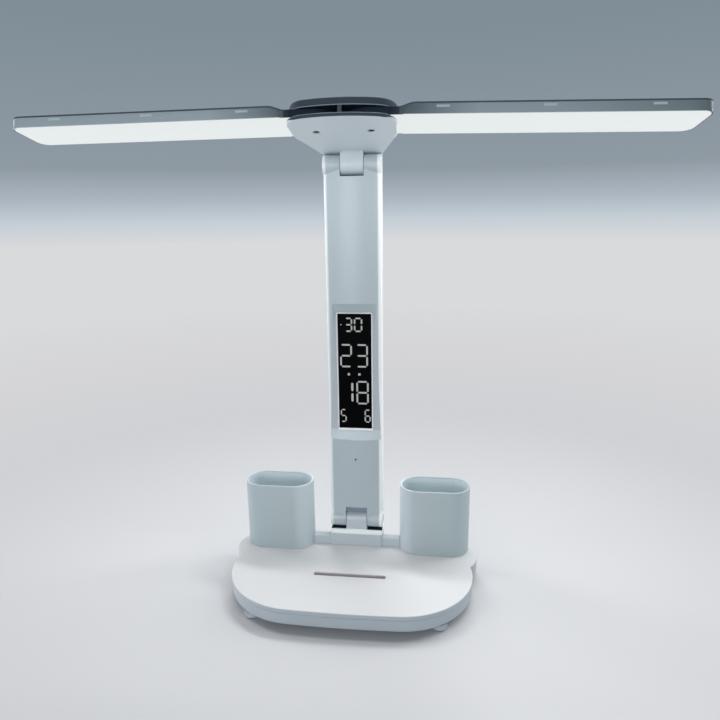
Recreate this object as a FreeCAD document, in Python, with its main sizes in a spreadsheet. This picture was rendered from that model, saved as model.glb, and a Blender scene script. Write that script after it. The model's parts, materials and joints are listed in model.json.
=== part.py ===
# LED desk lamp: a base with two pen cups and a phone slot, a folding column with a clock,
# and a tilting head that carries two light wings on upright pivots.
# Millimetres, +Z up. The origin is on the table, midway between the base's front and rear.
import FreeCAD, Part
import math
import os
import Sketcher

doc = FreeCAD.newDocument("desk_lamp")
sheet = doc.addObject("Spreadsheet::Sheet", "Sizes")

# Driving sizes in millimetres and degrees, one group for each sub-assembly
SIZES = {
    # base plan: front arc, two corner arcs, two cup lobes and a rear arc
    "base_depth": 126.0,
    "base_half_width": 103.0,
    "base_front_arc": 840.0,
    "base_corner_arc": 61.0,
    "lobe_radius": 28.5,
    "lobe_place_x": 80.0,
    "lobe_place_back": 33.0,
    "column_rear_inset": 25.0,
    # base heights and walls
    "base_top_height": 20.0,
    "foot_height": 5.4,
    "top_rim_height": 4.0,
    "seam_gap": 0.3,
    "seam_inset": 0.5,
    "base_wall": 2.2,
    "base_floor": 2.0,
    "base_plate": 2.4,
    "lip_height": 2.5,
    "lip_wall": 1.4,
    "cover_clearance": 0.3,
    # feet and their screws
    "foot_radius": 6.8,
    "foot_place_x": 75.0,
    "foot_front_inset": 19.4,
    "foot_rear_inset": 20.0,
    "pad_radius": 5.6,
    "pad_height": 1.6,
    "pad_recess": 0.8,
    "screw_radius": 1.4,
    "screw_head_radius": 2.7,
    "screw_head_height": 1.8,
    "screw_clearance": 0.2,
    "screw_bite": 6.0,
    "boss_radius": 3.8,
    # phone slot
    "phone_slot_length": 61.0,
    "phone_slot_width": 5.0,
    "phone_slot_depth": 6.5,
    "phone_slot_ahead": 49.3,
    "trough_wall": 1.6,
    # pen cups
    "cup_half_length": 31.0,
    "cup_half_width": 16.8,
    "cup_place_x": 70.4,
    "cup_setback": 3.4,
    "cup_height": 61.3,
    "cup_wall": 1.8,
    "cup_floor": 2.6,
    "cup_edge_bevel": 0.5,
    "cup_screw_spread": 15.0,
    # inside the base
    "ballast_length": 118.0,
    "ballast_height": 2.6,
    "ballast_front_inset": 20.0,
    "ballast_clearance": 6.0,
    "battery_length": 58.0,
    "battery_width": 38.0,
    "battery_height": 6.4,
    "battery_round": 2.6,
    "battery_rear_inset": 18.0,
    "battery_place_x": 34.0,
    "board_length": 46.0,
    "board_width": 30.0,
    "board_height": 1.6,
    "board_standoff": 2.2,
    "board_place_x": 36.0,
    "chip_length": 12.0,
    "chip_height": 1.2,
    "socket_width": 9.0,
    "socket_height": 3.2,
    "socket_depth": 7.4,
    "socket_wall": 0.4,
    "socket_tongue_height": 0.8,
    # hinges, alike below and above the column
    "hinge_radius": 8.0,
    "knuckle_half_width": 9.1,
    "ear_gap": 0.6,
    "washer_height": 0.4,
    "washer_radius": 6.4,
    "pin_radius": 2.5,
    "pin_seat_clearance": 0.03,
    "pin_running_clearance": 0.06,
    "hinge_cap_radius": 4.6,
    "hinge_cap_height": 1.8,
    "hinge_cap_clearance": 0.05,
    "notch_depth": 10.0,
    "lower_axis_height": 43.6,
    "upper_axis_height": 355.0,
    # hinge block
    "block_half_width": 24.0,
    "block_ahead": 2.4,
    "block_depth": 21.4,
    "block_height": 15.2,
    "block_round": 2.4,
    "block_screw_x": 15.0,
    "ridge_ahead": 0.5,
    "ridge_depth": 6.5,
    "ridge_height": 8.4,
    # column
    "column_half_width": 23.8,
    "column_arch": 60.0,
    "column_wall": 2.2,
    "column_rear_wall": 2.0,
    "column_rear_round": 3.0,
    "column_split": 10.6,
    "rear_cover_margin": 12.4,
    "column_screw_x": 16.0,
    "column_screw_end": 22.0,
    "column_boss_radius": 3.0,
    # clock bay, window and what lies behind it
    "bay_top_height": 243.0,
    "bay_bottom_height": 121.6,
    "bay_top_half_width": 18.4,
    "bay_bottom_half_width": 22.6,
    "bay_depth": 4.3,
    "bay_wall": 2.0,
    "window_half_width": 14.5,
    "window_bottom_height": 131.8,
    "window_length": 102.4,
    "window_border": 1.0,
    "lens_height": 1.6,
    "lens_recess": 0.25,
    "lens_clearance": 0.1,
    "display_margin": 3.0,
    "display_depth": 1.8,
    "clock_board_depth": 1.2,
    # touch switch below the clock
    "touch_light_height": 103.5,
    "touch_light_radius": 0.8,
    "touch_light_recess": 0.3,
    "touch_plate_half_width": 11.0,
    "touch_plate_length": 33.0,
    "touch_plate_depth": 0.4,
    # clock buttons on the rear
    "button_radius": 2.8,
    "button_clearance": 0.2,
    "button_proud": 1.0,
    "button_flange": 1.0,
    "button_flange_height": 0.8,
    "button_travel": 0.7,
    "button_first_height": 150.0,
    "button_pitch": 14.0,
    "switch_half_width": 2.6,
    # wires inside the column
    "loom_width": 7.0,
    "loom_depth": 0.9,
    "loom_place_x": 5.0,
    # head, in its own frame: origin on the hinge axis, +Y towards the rear
    "head_lean": 12.9,
    "head_underside": 8.3,
    "shell_height": 2.9,
    "wing_gap": 7.8,
    "hub_cover_height": 6.2,
    "hub_cover_inset": 0.4,
    "hub_cover_setback": 6.2,
    "hub_cover_round": 2.2,
    "hub_reach": 79.6,
    "hub_front_arc": 130.0,
    "hub_corner_arc": 16.0,
    "hub_half_width": 39.3,
    "hub_side_start": 52.0,
    "hub_side_arc": 50.0,
    "hub_neck_angle": 19.0,
    "hub_rear": 7.8,
    "hub_rear_round": 2.5,
    "hub_wall_place": 31.4,
    "post_half_width": 1.5,
    "post_depth": 3.0,
    "post_inset": 1.2,
    # wing pivots
    "pivot_place_x": 20.1,
    "pivot_reach": 50.8,
    "bush_radius": 5.0,
    "bush_clearance": 0.06,
    "pivot_screw_radius": 1.5,
    "pivot_head_radius": 2.0,
    "pivot_head_height": 1.2,
    "pivot_head_recess": 0.5,
    "pivot_bite": 3.0,
    "disc_height": 1.5,
    "disc_radius": 10.0,
    "disc_clearance": 0.05,
    # wings, in their own frame: origin on the pivot, +X towards the tip
    "left_wing_sweep": 1.2,
    "right_wing_sweep": 3.0,
    "wing_length": 231.0,
    "wing_half_width": 19.7,
    "wing_height": 8.5,
    "wing_tip_round": 8.0,
    "wing_edge_round": 1.2,
    "wing_wall": 1.4,
    "wing_roof": 1.8,
    "tongue_half_width": 18.4,
    "tongue_clearance": 0.3,
    "wing_shoulder": 22.4,
    "wing_ramp": 8.4,
    "diffuser_start": 20.2,
    "diffuser_height": 1.4,
    "cavity_start": 38.0,
    "led_board_half_width": 13.0,
    "led_board_height": 1.5,
    "led_half_width": 1.4,
    "led_height": 0.7,
    "led_pitch": 8.6,
    "hook_first": 50.0,
    "hook_pitch": 72.0,
    "hook_half_length": 4.5,
    "hook_depth": 1.2,
    "hook_nose_height": 1.6,
    "hook_nose_drop": 2.6,
    "window_clearance": 0.2,
    # shared by all cuts, so that no cut ends on a face
    "overrun": 1.0,
}

for row, (alias, size) in enumerate(SIZES.items(), start=1):
    sheet.set(f"A{row}", str(size))
    sheet.setAlias(f"A{row}", alias)
doc.recompute()


class Size:
    """A length or angle with the sheet formula that it follows."""

    def __init__(self, value, formula):
        self.value = value
        self.formula = formula

    def __add__(self, other):
        return Size(self.value + number(other), f"({self.formula} + {text(other)})")

    def __sub__(self, other):
        return Size(self.value - number(other), f"({self.formula} - {text(other)})")

    def __mul__(self, factor):
        return Size(self.value * number(factor), f"({self.formula} * {text(factor)})")

    def __truediv__(self, divisor):
        return Size(self.value / number(divisor), f"({self.formula} / {text(divisor)})")

    def __neg__(self):
        return Size(-self.value, f"(-{self.formula})")


def number(size):
    return size.value if isinstance(size, Size) else float(size)


def text(size):
    return size.formula if isinstance(size, Size) else str(size)


def cell(alias):
    return Size(float(sheet.get(alias)), f"Sizes.{alias}")


def bind(item, name, size):
    """Ties a property to the sheet, or sets it where the size is a plain number."""
    if isinstance(size, Size):
        item.setExpression(name, size.formula)
    elif name.startswith("Placement.Base."):
        place = item.Placement
        setattr(place.Base, name.split(".")[-1], size)
        item.Placement = place
    else:
        setattr(item, name, size)


NODES = []


def node(item, label, place=None):
    """Names a finished sub-part, sets it in place and keeps it for the end."""
    item.Label = label
    if place is not None:
        item.Placement = place
    NODES.append(item)
    return item


# Sketches

def corner(sketch, edge, end, point):
    """Ties one end of an edge to the sheet, or to an axis where a coordinate is zero."""
    for kind, axis, size in (("DistanceX", -2, point[0]), ("DistanceY", -1, point[1])):
        if isinstance(size, Size) and abs(size.value) > 0:
            row = sketch.addConstraint(Sketcher.Constraint(kind, -1, 1, edge, end, size.value))
            sketch.setExpression(f"Constraints[{row}]", size.formula)
        elif number(size) == 0:
            sketch.addConstraint(Sketcher.Constraint("PointOnObject", edge, end, axis))


def flat(point):
    return FreeCAD.Vector(number(point[0]), number(point[1]), 0)


def arc_between(start, end, radius):
    """The arc of under a half turn from start to end, its centre on the left of that way."""
    a, b = flat(start), flat(end)
    chord = b - a
    half = chord.Length / 2
    rise = math.sqrt(max(radius * radius - half * half, 0))
    left = FreeCAD.Vector(-chord.y, chord.x, 0).normalize()
    centre = (a + b) * 0.5 + left * rise
    circle = Part.Circle(centre, FreeCAD.Vector(0, 0, 1), radius)
    first = math.atan2(a.y - centre.y, a.x - centre.x)
    last = math.atan2(b.y - centre.y, b.x - centre.x)
    while last < first:
        last += 2 * math.pi
    return Part.ArcOfCircle(circle, first, last)


def closed_path(*corners):
    """An anticlockwise outline: corners (x, y), or (x, y, radius) where an arc starts there.

    A negative radius is an arc that is hollow, with its centre outside.
    """
    return ("path", corners)


def round_outline(x, y, radius):
    return ("circle", (x, y, radius))


def rounded_box(x0, y0, x1, y1, radius):
    """A rectangle with four quarter arcs."""
    return closed_path(
        (x0 + radius, y0), (x1 - radius, y0, radius), (x1, y0 + radius), (x1, y1 - radius, radius),
        (x1 - radius, y1), (x0 + radius, y1, radius), (x0, y1 - radius), (x0, y0 + radius, radius),
    )


def box_outline(x0, y0, x1, y1):
    return closed_path((x0, y0), (x1, y0), (x1, y1), (x0, y1))


def stadium(x, half_length, half_width):
    """A long oval along X whose ends are half circles, drawn as quarter arcs."""
    left, right = x - half_length, x + half_length
    near, far = -half_width, half_width
    return closed_path(
        (left + half_width, near), (right - half_width, near, half_width), (right, 0, half_width),
        (right - half_width, far), (left + half_width, far, half_width), (left, 0, half_width),
    )


def draw(sketch, outline):
    kind, data = outline
    if kind == "circle":
        x, y, radius = data
        circle = Part.Circle(flat((x, y)), FreeCAD.Vector(0, 0, 1), number(radius))
        edge = sketch.addGeometry(circle, False)
        corner(sketch, edge, 3, (x, y))
        row = sketch.addConstraint(Sketcher.Constraint("Radius", edge, number(radius)))
        if isinstance(radius, Size):
            sketch.setExpression(f"Constraints[{row}]", radius.formula)
        return
    ends = []
    for place, start in enumerate(data):
        end = data[(place + 1) % len(data)]
        radius = start[2] if len(start) > 2 else None
        if radius is None:
            edge = sketch.addGeometry(Part.LineSegment(flat(start), flat(end)), False)
            ends.append((edge, 1, 2))
        elif number(radius) > 0:
            edge = sketch.addGeometry(arc_between(start, end, number(radius)), False)
            ends.append((edge, 1, 2))
        else:
            edge = sketch.addGeometry(arc_between(end, start, -number(radius)), False)
            ends.append((edge, 2, 1))
        if isinstance(radius, Size):
            size = radius if radius.value > 0 else -radius
            row = sketch.addConstraint(Sketcher.Constraint("Radius", edge, size.value))
            sketch.setExpression(f"Constraints[{row}]", size.formula)
    for place, start in enumerate(data):
        edge, first, last = ends[place]
        after, after_first, after_last = ends[(place + 1) % len(data)]
        sketch.addConstraint(Sketcher.Constraint("Coincident", edge, last, after, after_first))
        corner(sketch, edge, first, start)


def prism(name, plane, outlines, low, high):
    """A body padded between two places along the plane's world axis.

    XY outlines hold (x, y) and run along Z, XZ ones (x, z) along Y, YZ ones (y, z) along X.
    """
    body = doc.addObject("PartDesign::Body", name)
    sketch = body.newObject("Sketcher::SketchObject", name + "_outline")
    role = plane + "_Plane"
    base = [feature for feature in body.Origin.OriginFeatures if feature.Role == role][0]
    sketch.AttachmentSupport = [(base, "")]
    sketch.MapMode = "FlatFace"
    start = -high if plane == "XZ" else low
    if isinstance(start, Size):
        sketch.setExpression("AttachmentOffset.Base.z", start.formula)
    for outline in outlines:
        draw(sketch, outline)
    pad = body.newObject("PartDesign::Pad", name + "_pad")
    pad.Profile = sketch
    bind(pad, "Length", high - low)
    return body


def cylinder(name, axis, centre, radius, low, high):
    """A cylinder along a world axis, from low to high, about a centre in the other two."""
    item = doc.addObject("Part::Cylinder", name)
    bind(item, "Radius", radius)
    bind(item, "Height", high - low)
    turn = {"X": FreeCAD.Rotation(FreeCAD.Vector(0, 1, 0), 90),
            "Y": FreeCAD.Rotation(FreeCAD.Vector(1, 0, 0), -90),
            "Z": FreeCAD.Rotation()}[axis]
    item.Placement = FreeCAD.Placement(FreeCAD.Vector(), turn)
    places = {"X": (low, centre[0], centre[1]), "Y": (centre[0], low, centre[1]),
              "Z": (centre[0], centre[1], low)}[axis]
    for letter, place in zip("xyz", places):
        if isinstance(place, Size):
            item.setExpression("Placement.Base." + letter, place.formula)
    return item


def box(name, x0, y0, z0, x1, y1, z1):
    item = doc.addObject("Part::Box", name)
    for side, size in (("Length", x1 - x0), ("Width", y1 - y0), ("Height", z1 - z0)):
        bind(item, side, size)
    for letter, place in (("x", x0), ("y", y0), ("z", z0)):
        if isinstance(place, Size):
            item.setExpression("Placement.Base." + letter, place.formula)
    return item


def join(name, *items):
    fusion = doc.addObject("Part::MultiFuse", name)
    fusion.Shapes = list(items)
    fusion.Refine = True
    return fusion


def group(name, *items):
    """Separate solids that share one node."""
    bundle = doc.addObject("Part::Compound", name)
    bundle.Links = list(items)
    return bundle


def cut(name, base, *tools):
    tool = tools[0] if len(tools) == 1 else join(name + "_tools", *tools)
    result = doc.addObject("Part::Cut", name)
    result.Base = base
    result.Tool = tool
    result.Refine = True
    return result


def overlap(name, first, second):
    shared = doc.addObject("Part::Common", name)
    shared.Base = first
    shared.Tool = second
    shared.Refine = True
    return shared


def soften(name, base, radius, chosen):
    """Rounds the edges for which chosen(edge) holds."""
    doc.recompute()
    rounded = doc.addObject("Part::Fillet", name)
    rounded.Base = base
    edges = [place for place, edge in enumerate(base.Shape.Edges, start=1) if chosen(edge)]
    rounded.Edges = [(place, number(radius), number(radius)) for place in edges]
    return rounded


def bevelled(name, base, size, chosen):
    """Cuts a flat bevel along the edges for which chosen(edge) holds."""
    doc.recompute()
    bevel = doc.addObject("Part::Chamfer", name)
    bevel.Base = base
    edges = [place for place, edge in enumerate(base.Shape.Edges, start=1) if chosen(edge)]
    bevel.Edges = [(place, number(size), number(size)) for place in edges]
    return bevel


def level(height):
    """Picks the edges that lie at one height."""
    def chosen(edge):
        box_of_edge = edge.BoundBox
        near = abs(number(height)) * 1e-6 + 1e-4
        return abs(box_of_edge.ZMin - number(height)) < near and abs(box_of_edge.ZMax - number(height)) < near
    return chosen


# Base plan

overrun = cell("overrun")
front = -cell("base_depth") / 2
column_face = -front - cell("column_rear_inset")
table_top = cell("base_top_height")
foot_top = cell("foot_height")
rim_base = table_top - cell("top_rim_height")
wall_top = rim_base - cell("seam_gap")


def base_outline(inset):
    """The base's plan, moved in by inset. Arcs only: front, corners, cup lobes and rear."""
    front_place = number(front)
    half_width = number(cell("base_half_width"))
    front_arc = number(cell("base_front_arc"))
    corner_arc = number(cell("base_corner_arc"))
    lobe = number(cell("lobe_radius"))
    lobe_x = number(cell("lobe_place_x"))
    rear = -front_place
    lobe_y = rear - number(cell("lobe_place_back"))
    # the corner arc touches the front arc from inside and reaches the half width
    lean = math.asin((half_width - corner_arc) / (front_arc - corner_arc))
    corner_x = half_width - corner_arc
    corner_y = front_place + front_arc - (front_arc - corner_arc) * math.cos(lean)
    touch_x = (front_arc - inset) * math.sin(lean)
    touch_y = front_place + front_arc - (front_arc - inset) * math.cos(lean)
    # the rear arc touches both lobes from outside
    back = rear - lobe_y
    rear_arc = (lobe_x ** 2 + back ** 2 - lobe ** 2) / (2 * (back - lobe))
    turn = math.asin(lobe_x / (rear_arc - lobe))
    rear_x = (rear_arc - inset) * math.sin(turn)
    rear_y = rear - rear_arc + (rear_arc - inset) * math.cos(turn)
    # the waist is where the corner arc meets the lobe
    first, second = corner_arc - inset, lobe - inset
    step_x, step_y = lobe_x - corner_x, lobe_y - corner_y
    span = math.hypot(step_x, step_y)
    along = (first ** 2 - second ** 2 + span ** 2) / (2 * span)
    aside = math.sqrt(first ** 2 - along ** 2)
    waist_x = corner_x + (along * step_x + aside * step_y) / span
    waist_y = corner_y + (along * step_y - aside * step_x) / span
    return closed_path(
        (-touch_x, touch_y, front_arc - inset), (touch_x, touch_y, first), (waist_x, waist_y, second),
        (rear_x, rear_y, rear_arc - inset), (-rear_x, rear_y, second), (-waist_x, waist_y, first),
    )


foot_places = [
    (side * cell_x, place_y)
    for cell_x, place_y in (
        (1, front + cell("foot_front_inset")),
        (1, -front - cell("foot_rear_inset")),
    )
    for side in (-1, 1)
]
foot_places = [(cell("foot_place_x") * side, place_y) for side, place_y in foot_places]

cup_places = [-cell("cup_place_x"), cell("cup_place_x")]
cup_screw_places = [
    place + cell("cup_screw_spread") * side for place in cup_places for side in (-1, 1)
]
block_screw_places = [cell("block_screw_x") * side for side in (-1, 1)]
hinge_back = column_face + cell("hinge_radius")


def screw(name, x, y, head_base, reach):
    """A pan-head screw standing on its head, its thread going up by reach."""
    head_top = head_base + cell("screw_head_height")
    head = cylinder(name + "_head", "Z", (x, y), cell("screw_head_radius"), head_base, head_top)
    thread = cylinder(name + "_thread", "Z", (x, y), cell("screw_radius"), head_top, head_top + reach)
    return join(name, head, thread)


# Base bottom cover: a tray with foot bosses, open above

floor_top = foot_top + cell("base_floor")
pad_seat = cell("pad_height") - cell("pad_recess")
foot_screw_head = cell("pad_height")
foot_screw_stop = foot_screw_head + cell("screw_head_height")
boss_top = floor_top + cell("board_standoff")
step = number(cell("seam_inset"))
wall = number(cell("base_wall"))

tray = cut(
    "tray",
    prism("tray_outside", "XY", [base_outline(step)], foot_top, wall_top),
    prism("tray_inside", "XY", [base_outline(step + wall)], floor_top, wall_top + overrun),
)
feet = [cylinder(f"foot_{n}", "Z", place, cell("foot_radius"), pad_seat, floor_top)
        for n, place in enumerate(foot_places)]
foot_posts = [cylinder(f"foot_post_{n}", "Z", place, cell("boss_radius"), foot_top, boss_top)
              for n, place in enumerate(foot_places)]
foot_cuts = []
for n, place in enumerate(foot_places):
    clear = cell("screw_radius") + cell("screw_clearance")
    sink = cell("screw_head_radius") + cell("screw_clearance")
    foot_cuts += [
        cylinder(f"pad_recess_{n}", "Z", place, cell("pad_radius"), pad_seat - overrun, foot_screw_head),
        cylinder(f"foot_sink_{n}", "Z", place, sink, pad_seat, foot_screw_stop),
        cylinder(f"foot_hole_{n}", "Z", place, clear, pad_seat, boss_top + overrun),
    ]

board_x = cell("board_place_x")
board_half = cell("board_length") / 2
board_rear = -front - cell("base_wall") - cell("seam_inset") - cell("cover_clearance") - cell("base_plate")
board_front = board_rear - cell("board_width")
board_base = boss_top
board_top = board_base + cell("board_height")
inset_of_posts = cell("boss_radius")
board_posts = [
    cylinder(f"board_post_{n}", "Z", (x, y), cell("boss_radius") / 2, floor_top, board_base)
    for n, (x, y) in enumerate(
        (board_x + (board_half - inset_of_posts) * side, y)
        for side in (-1, 1)
        for y in (board_front + inset_of_posts, board_rear - inset_of_posts)
    )
]
socket_half = cell("socket_width") / 2
socket_clear = cell("cover_clearance")
socket_port = box(
    "socket_port",
    board_x - socket_half - socket_clear, board_rear, board_top - socket_clear,
    board_x + socket_half + socket_clear, -front + overrun,
    board_top + cell("socket_height") + socket_clear,
)
node(
    cut("base_bottom_cover", join("tray_with_feet", tray, *feet, *foot_posts, *board_posts),
        *foot_cuts, socket_port),
    "base_bottom_cover",
)
pads = [cylinder(f"pad_{n}", "Z", place, cell("pad_radius"), table_top * 0, foot_screw_head)
        for n, place in enumerate(foot_places)]
node(group("foot_pads", *pads), "foot_pads")
base_screws = [screw(f"base_screw_{n}", place[0], place[1], foot_screw_head,
                     cell("screw_bite") + boss_top - foot_screw_stop)
               for n, place in enumerate(foot_places)]
node(group("base_screws", *base_screws), "base_screws")

# Base top cover: a plate with a rim, a lip inside the tray, screw posts and the slot's trough

plate_base = table_top - cell("base_plate")
lip_inset = step + wall + number(cell("cover_clearance"))
lip_inner = lip_inset + number(cell("lip_wall"))
plate = prism("plate", "XY", [base_outline(0)], rim_base, table_top)
plate_hollow = prism("plate_hollow", "XY", [base_outline(lip_inner)], rim_base - overrun, plate_base)
lip = cut(
    "lip",
    prism("lip_outside", "XY", [base_outline(lip_inset)], rim_base - cell("lip_height"), plate_base),
    prism("lip_inside", "XY", [base_outline(lip_inner)], rim_base - cell("lip_height") - overrun, plate_base),
)
slot_half = cell("phone_slot_length") / 2
slot_middle = column_face - cell("phone_slot_ahead")
slot_near = slot_middle - cell("phone_slot_width") / 2
slot_far = slot_middle + cell("phone_slot_width") / 2
slot_floor = table_top - cell("phone_slot_depth")
trough_wall = cell("trough_wall")
trough = box(
    "trough", -slot_half - trough_wall, slot_near - trough_wall, slot_floor - trough_wall,
    slot_half + trough_wall, slot_far + trough_wall, plate_base,
)
phone_slot = box("phone_slot", -slot_half, slot_near, slot_floor, slot_half, slot_far, table_top + overrun)
cover_posts = [cylinder(f"cover_post_{n}", "Z", place, cell("boss_radius"), boss_top, plate_base)
               for n, place in enumerate(foot_places)]
cover_cuts = [
    cylinder(f"cover_thread_{n}", "Z", place, cell("screw_radius"), boss_top - overrun,
             boss_top + cell("screw_bite"))
    for n, place in enumerate(foot_places)
]
cup_post = cell("boss_radius")
cup_y = column_face + cell("cup_setback")
screw_clear = cell("screw_radius") + cell("screw_clearance")
cover_cuts += [
    cylinder(f"cup_post_hole_{n}", "Z", (x, cup_y), cup_post + cell("cover_clearance"), plate_base - overrun,
             table_top + overrun)
    for n, x in enumerate(cup_screw_places)
]
cover_cuts += [
    cylinder(f"block_screw_hole_{n}", "Z", (x, hinge_back), screw_clear, plate_base - overrun,
             table_top + overrun)
    for n, x in enumerate(block_screw_places)
]
socket_relief = box(
    "socket_relief",
    board_x - socket_half - socket_clear, board_rear - cell("base_plate") - cell("cover_clearance"),
    board_base,
    board_x + socket_half + socket_clear, -front + overrun, board_top + cell("socket_height") + socket_clear,
)
top_shell = join("top_shell", cut("plate_shell", plate, plate_hollow), lip, trough, *cover_posts)
node(cut("base_top_cover", top_shell, phone_slot, socket_relief, *cover_cuts), "base_top_cover")

# Inside the base: ballast, battery, board and power inlet

battery_rear = -front - cell("battery_rear_inset")
battery_front = battery_rear - cell("battery_width")
ballast_front = front + cell("ballast_front_inset")
ballast_rear = battery_front - cell("ballast_clearance")
ballast_half = cell("ballast_length") / 2
ballast_round = (ballast_rear - ballast_front) / 4
node(
    prism("ballast_plate", "XY",
          [rounded_box(-ballast_half, ballast_front, ballast_half, ballast_rear, ballast_round)],
          floor_top, floor_top + cell("ballast_height")),
    "ballast_plate",
)
battery_half = cell("battery_length") / 2
battery_x = cell("battery_place_x")
node(
    prism("battery_pack", "XY",
          [rounded_box(-battery_x - battery_half, battery_front, -battery_x + battery_half, battery_rear,
                       cell("battery_round"))],
          floor_top, floor_top + cell("battery_height")),
    "battery_pack",
)
board = box("board", board_x - board_half, board_front, board_base, board_x + board_half, board_rear,
            board_top)
chip_half = cell("chip_length") / 2
chip = box("chip", board_x - chip_half, board_front + inset_of_posts, board_top,
           board_x + chip_half, board_front + inset_of_posts + cell("chip_length"),
           board_top + cell("chip_height"))
node(join("main_board", board, chip), "main_board")
socket_front = board_rear + cell("base_plate") - cell("socket_depth")
socket_rear = board_rear + cell("base_plate")
socket_wall = cell("socket_wall")
shell = box("socket_shell", board_x - socket_half, socket_front, board_top,
            board_x + socket_half, socket_rear, board_top + cell("socket_height"))
throat = box("socket_throat", board_x - socket_half + socket_wall, socket_front + socket_wall,
             board_top + socket_wall, board_x + socket_half - socket_wall, socket_rear + overrun,
             board_top + cell("socket_height") - socket_wall)
tongue_half = cell("socket_tongue_height") / 2
socket_middle = board_top + cell("socket_height") / 2
contacts = box("socket_contacts", board_x - socket_half + socket_wall * 3, socket_front,
               socket_middle - tongue_half,
               board_x + socket_half - socket_wall * 3, socket_rear - overrun, socket_middle + tongue_half)
node(join("usb_socket", cut("socket_case", shell, throat), contacts), "usb_socket")

# Pen cups: oval shells with a rounded rim, each on two screw bosses

cup_top = table_top + cell("cup_height")


def pen_cup(label, x):
    long_half, short_half = cell("cup_half_length"), cell("cup_half_width")
    thick, bevel = cell("cup_wall"), cell("cup_edge_bevel")
    outside = prism(label + "_outside", "XY", [stadium(x * 0, long_half, short_half)], table_top, cup_top)
    inside = prism(label + "_inside", "XY", [stadium(x * 0, long_half - thick, short_half - thick)],
                   table_top + cell("cup_floor"), cup_top + overrun)
    for shape in (outside, inside):
        bind(shape, "Placement.Base.x", x)
        bind(shape, "Placement.Base.y", cup_y)
    hollow = bevelled(label + "_rim_edges", cut(label + "_hollow", outside, inside), bevel, level(cup_top))
    bosses, holes = [], []
    for n, side in enumerate((-1, 1)):
        place = (x + cell("cup_screw_spread") * side, cup_y)
        bosses.append(cylinder(f"{label}_boss_{n}", "Z", place, cup_post, plate_base,
                               table_top + cell("cup_floor")))
        holes.append(cylinder(f"{label}_thread_{n}", "Z", place, cell("screw_radius"), plate_base - overrun,
                              table_top + cell("cup_floor") / 2))
    return node(cut(label, join(label + "_with_bosses", hollow, *bosses), *holes), label)


pen_cup("left_pen_cup", cup_places[0])
pen_cup("right_pen_cup", cup_places[1])
cup_reach = cell("base_plate") + cell("cup_floor") / 2
cup_screws = [screw(f"cup_screw_{n}", x, cup_y, plate_base - cell("screw_head_height"), cup_reach)
              for n, x in enumerate(cup_screw_places)]
node(group("cup_screws", *cup_screws), "cup_screws")

# Hinge block: stands on the base between the cups and carries the lower knuckle

block_top = table_top + cell("block_height")
lower_axis = (hinge_back, cell("lower_axis_height"))
block_front = column_face - cell("block_ahead")
block_half = cell("block_half_width")
block_body = prism(
    "block_body", "XY",
    [rounded_box(-block_half, block_front, block_half, block_front + cell("block_depth"),
                 cell("block_round"))],
    table_top, block_top,
)
block_soft = soften("block_soft", block_body, cell("block_round") / 2, level(block_top))
ridge_front = column_face - cell("ridge_ahead")
ridge = box("ridge", -cell("cup_place_x"), ridge_front, table_top, cell("cup_place_x"),
            ridge_front + cell("ridge_depth"), table_top + cell("ridge_height"))
cup_space = [
    prism(f"cup_space_{n}", "XY",
          [stadium(x * 0, cell("cup_half_length") + cell("cover_clearance"),
                   cell("cup_half_width") + cell("cover_clearance"))],
          table_top - overrun, cup_top)
    for n, x in enumerate(cup_places)
]
for space, x in zip(cup_space, cup_places):
    bind(space, "Placement.Base.x", x)
    bind(space, "Placement.Base.y", cup_y)
ridge_wall = cut("ridge_wall", ridge, *cup_space)
ridge_between = overlap(
    "ridge_between", ridge_wall,
    box("ridge_reach", -cell("cup_place_x") + cell("cup_half_width"), ridge_front - overrun, table_top,
        cell("cup_place_x") - cell("cup_half_width"), ridge_front + cell("ridge_depth") + overrun, cup_top),
)
knuckle_half = cell("knuckle_half_width")
hinge_radius = cell("hinge_radius")
lower_knuckle = join(
    "lower_knuckle",
    cylinder("lower_knuckle_round", "X", lower_axis, hinge_radius, -knuckle_half, knuckle_half),
    box("lower_knuckle_web", -knuckle_half, hinge_back - hinge_radius, block_top - cell("block_round"),
        knuckle_half, hinge_back + hinge_radius, lower_axis[1]),
)
pin_seat = cell("pin_radius") + cell("pin_seat_clearance")
block_cuts = [cylinder("lower_pin_seat", "X", lower_axis, pin_seat, -knuckle_half - overrun,
                       knuckle_half + overrun)]
block_cuts += [
    cylinder(f"block_thread_{n}", "Z", (x, hinge_back), cell("screw_radius"), table_top - overrun,
             table_top + cell("screw_bite"))
    for n, x in enumerate(block_screw_places)
]
node(cut("hinge_block", join("block_whole", block_soft, ridge_between, lower_knuckle), *block_cuts),
     "hinge_block")
block_screws = [screw(f"block_screw_{n}", x, hinge_back, plate_base - cell("screw_head_height"),
                      cell("base_plate") + cell("screw_bite"))
                for n, x in enumerate(block_screw_places)]
node(group("block_screws", *block_screws), "block_screws")

# Hinge pins, friction washers and end caps, the same at both ends of the column

column_half = cell("column_half_width")
ear_inner = knuckle_half + cell("ear_gap")
cap_inner = column_half - cell("hinge_cap_height")


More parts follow.
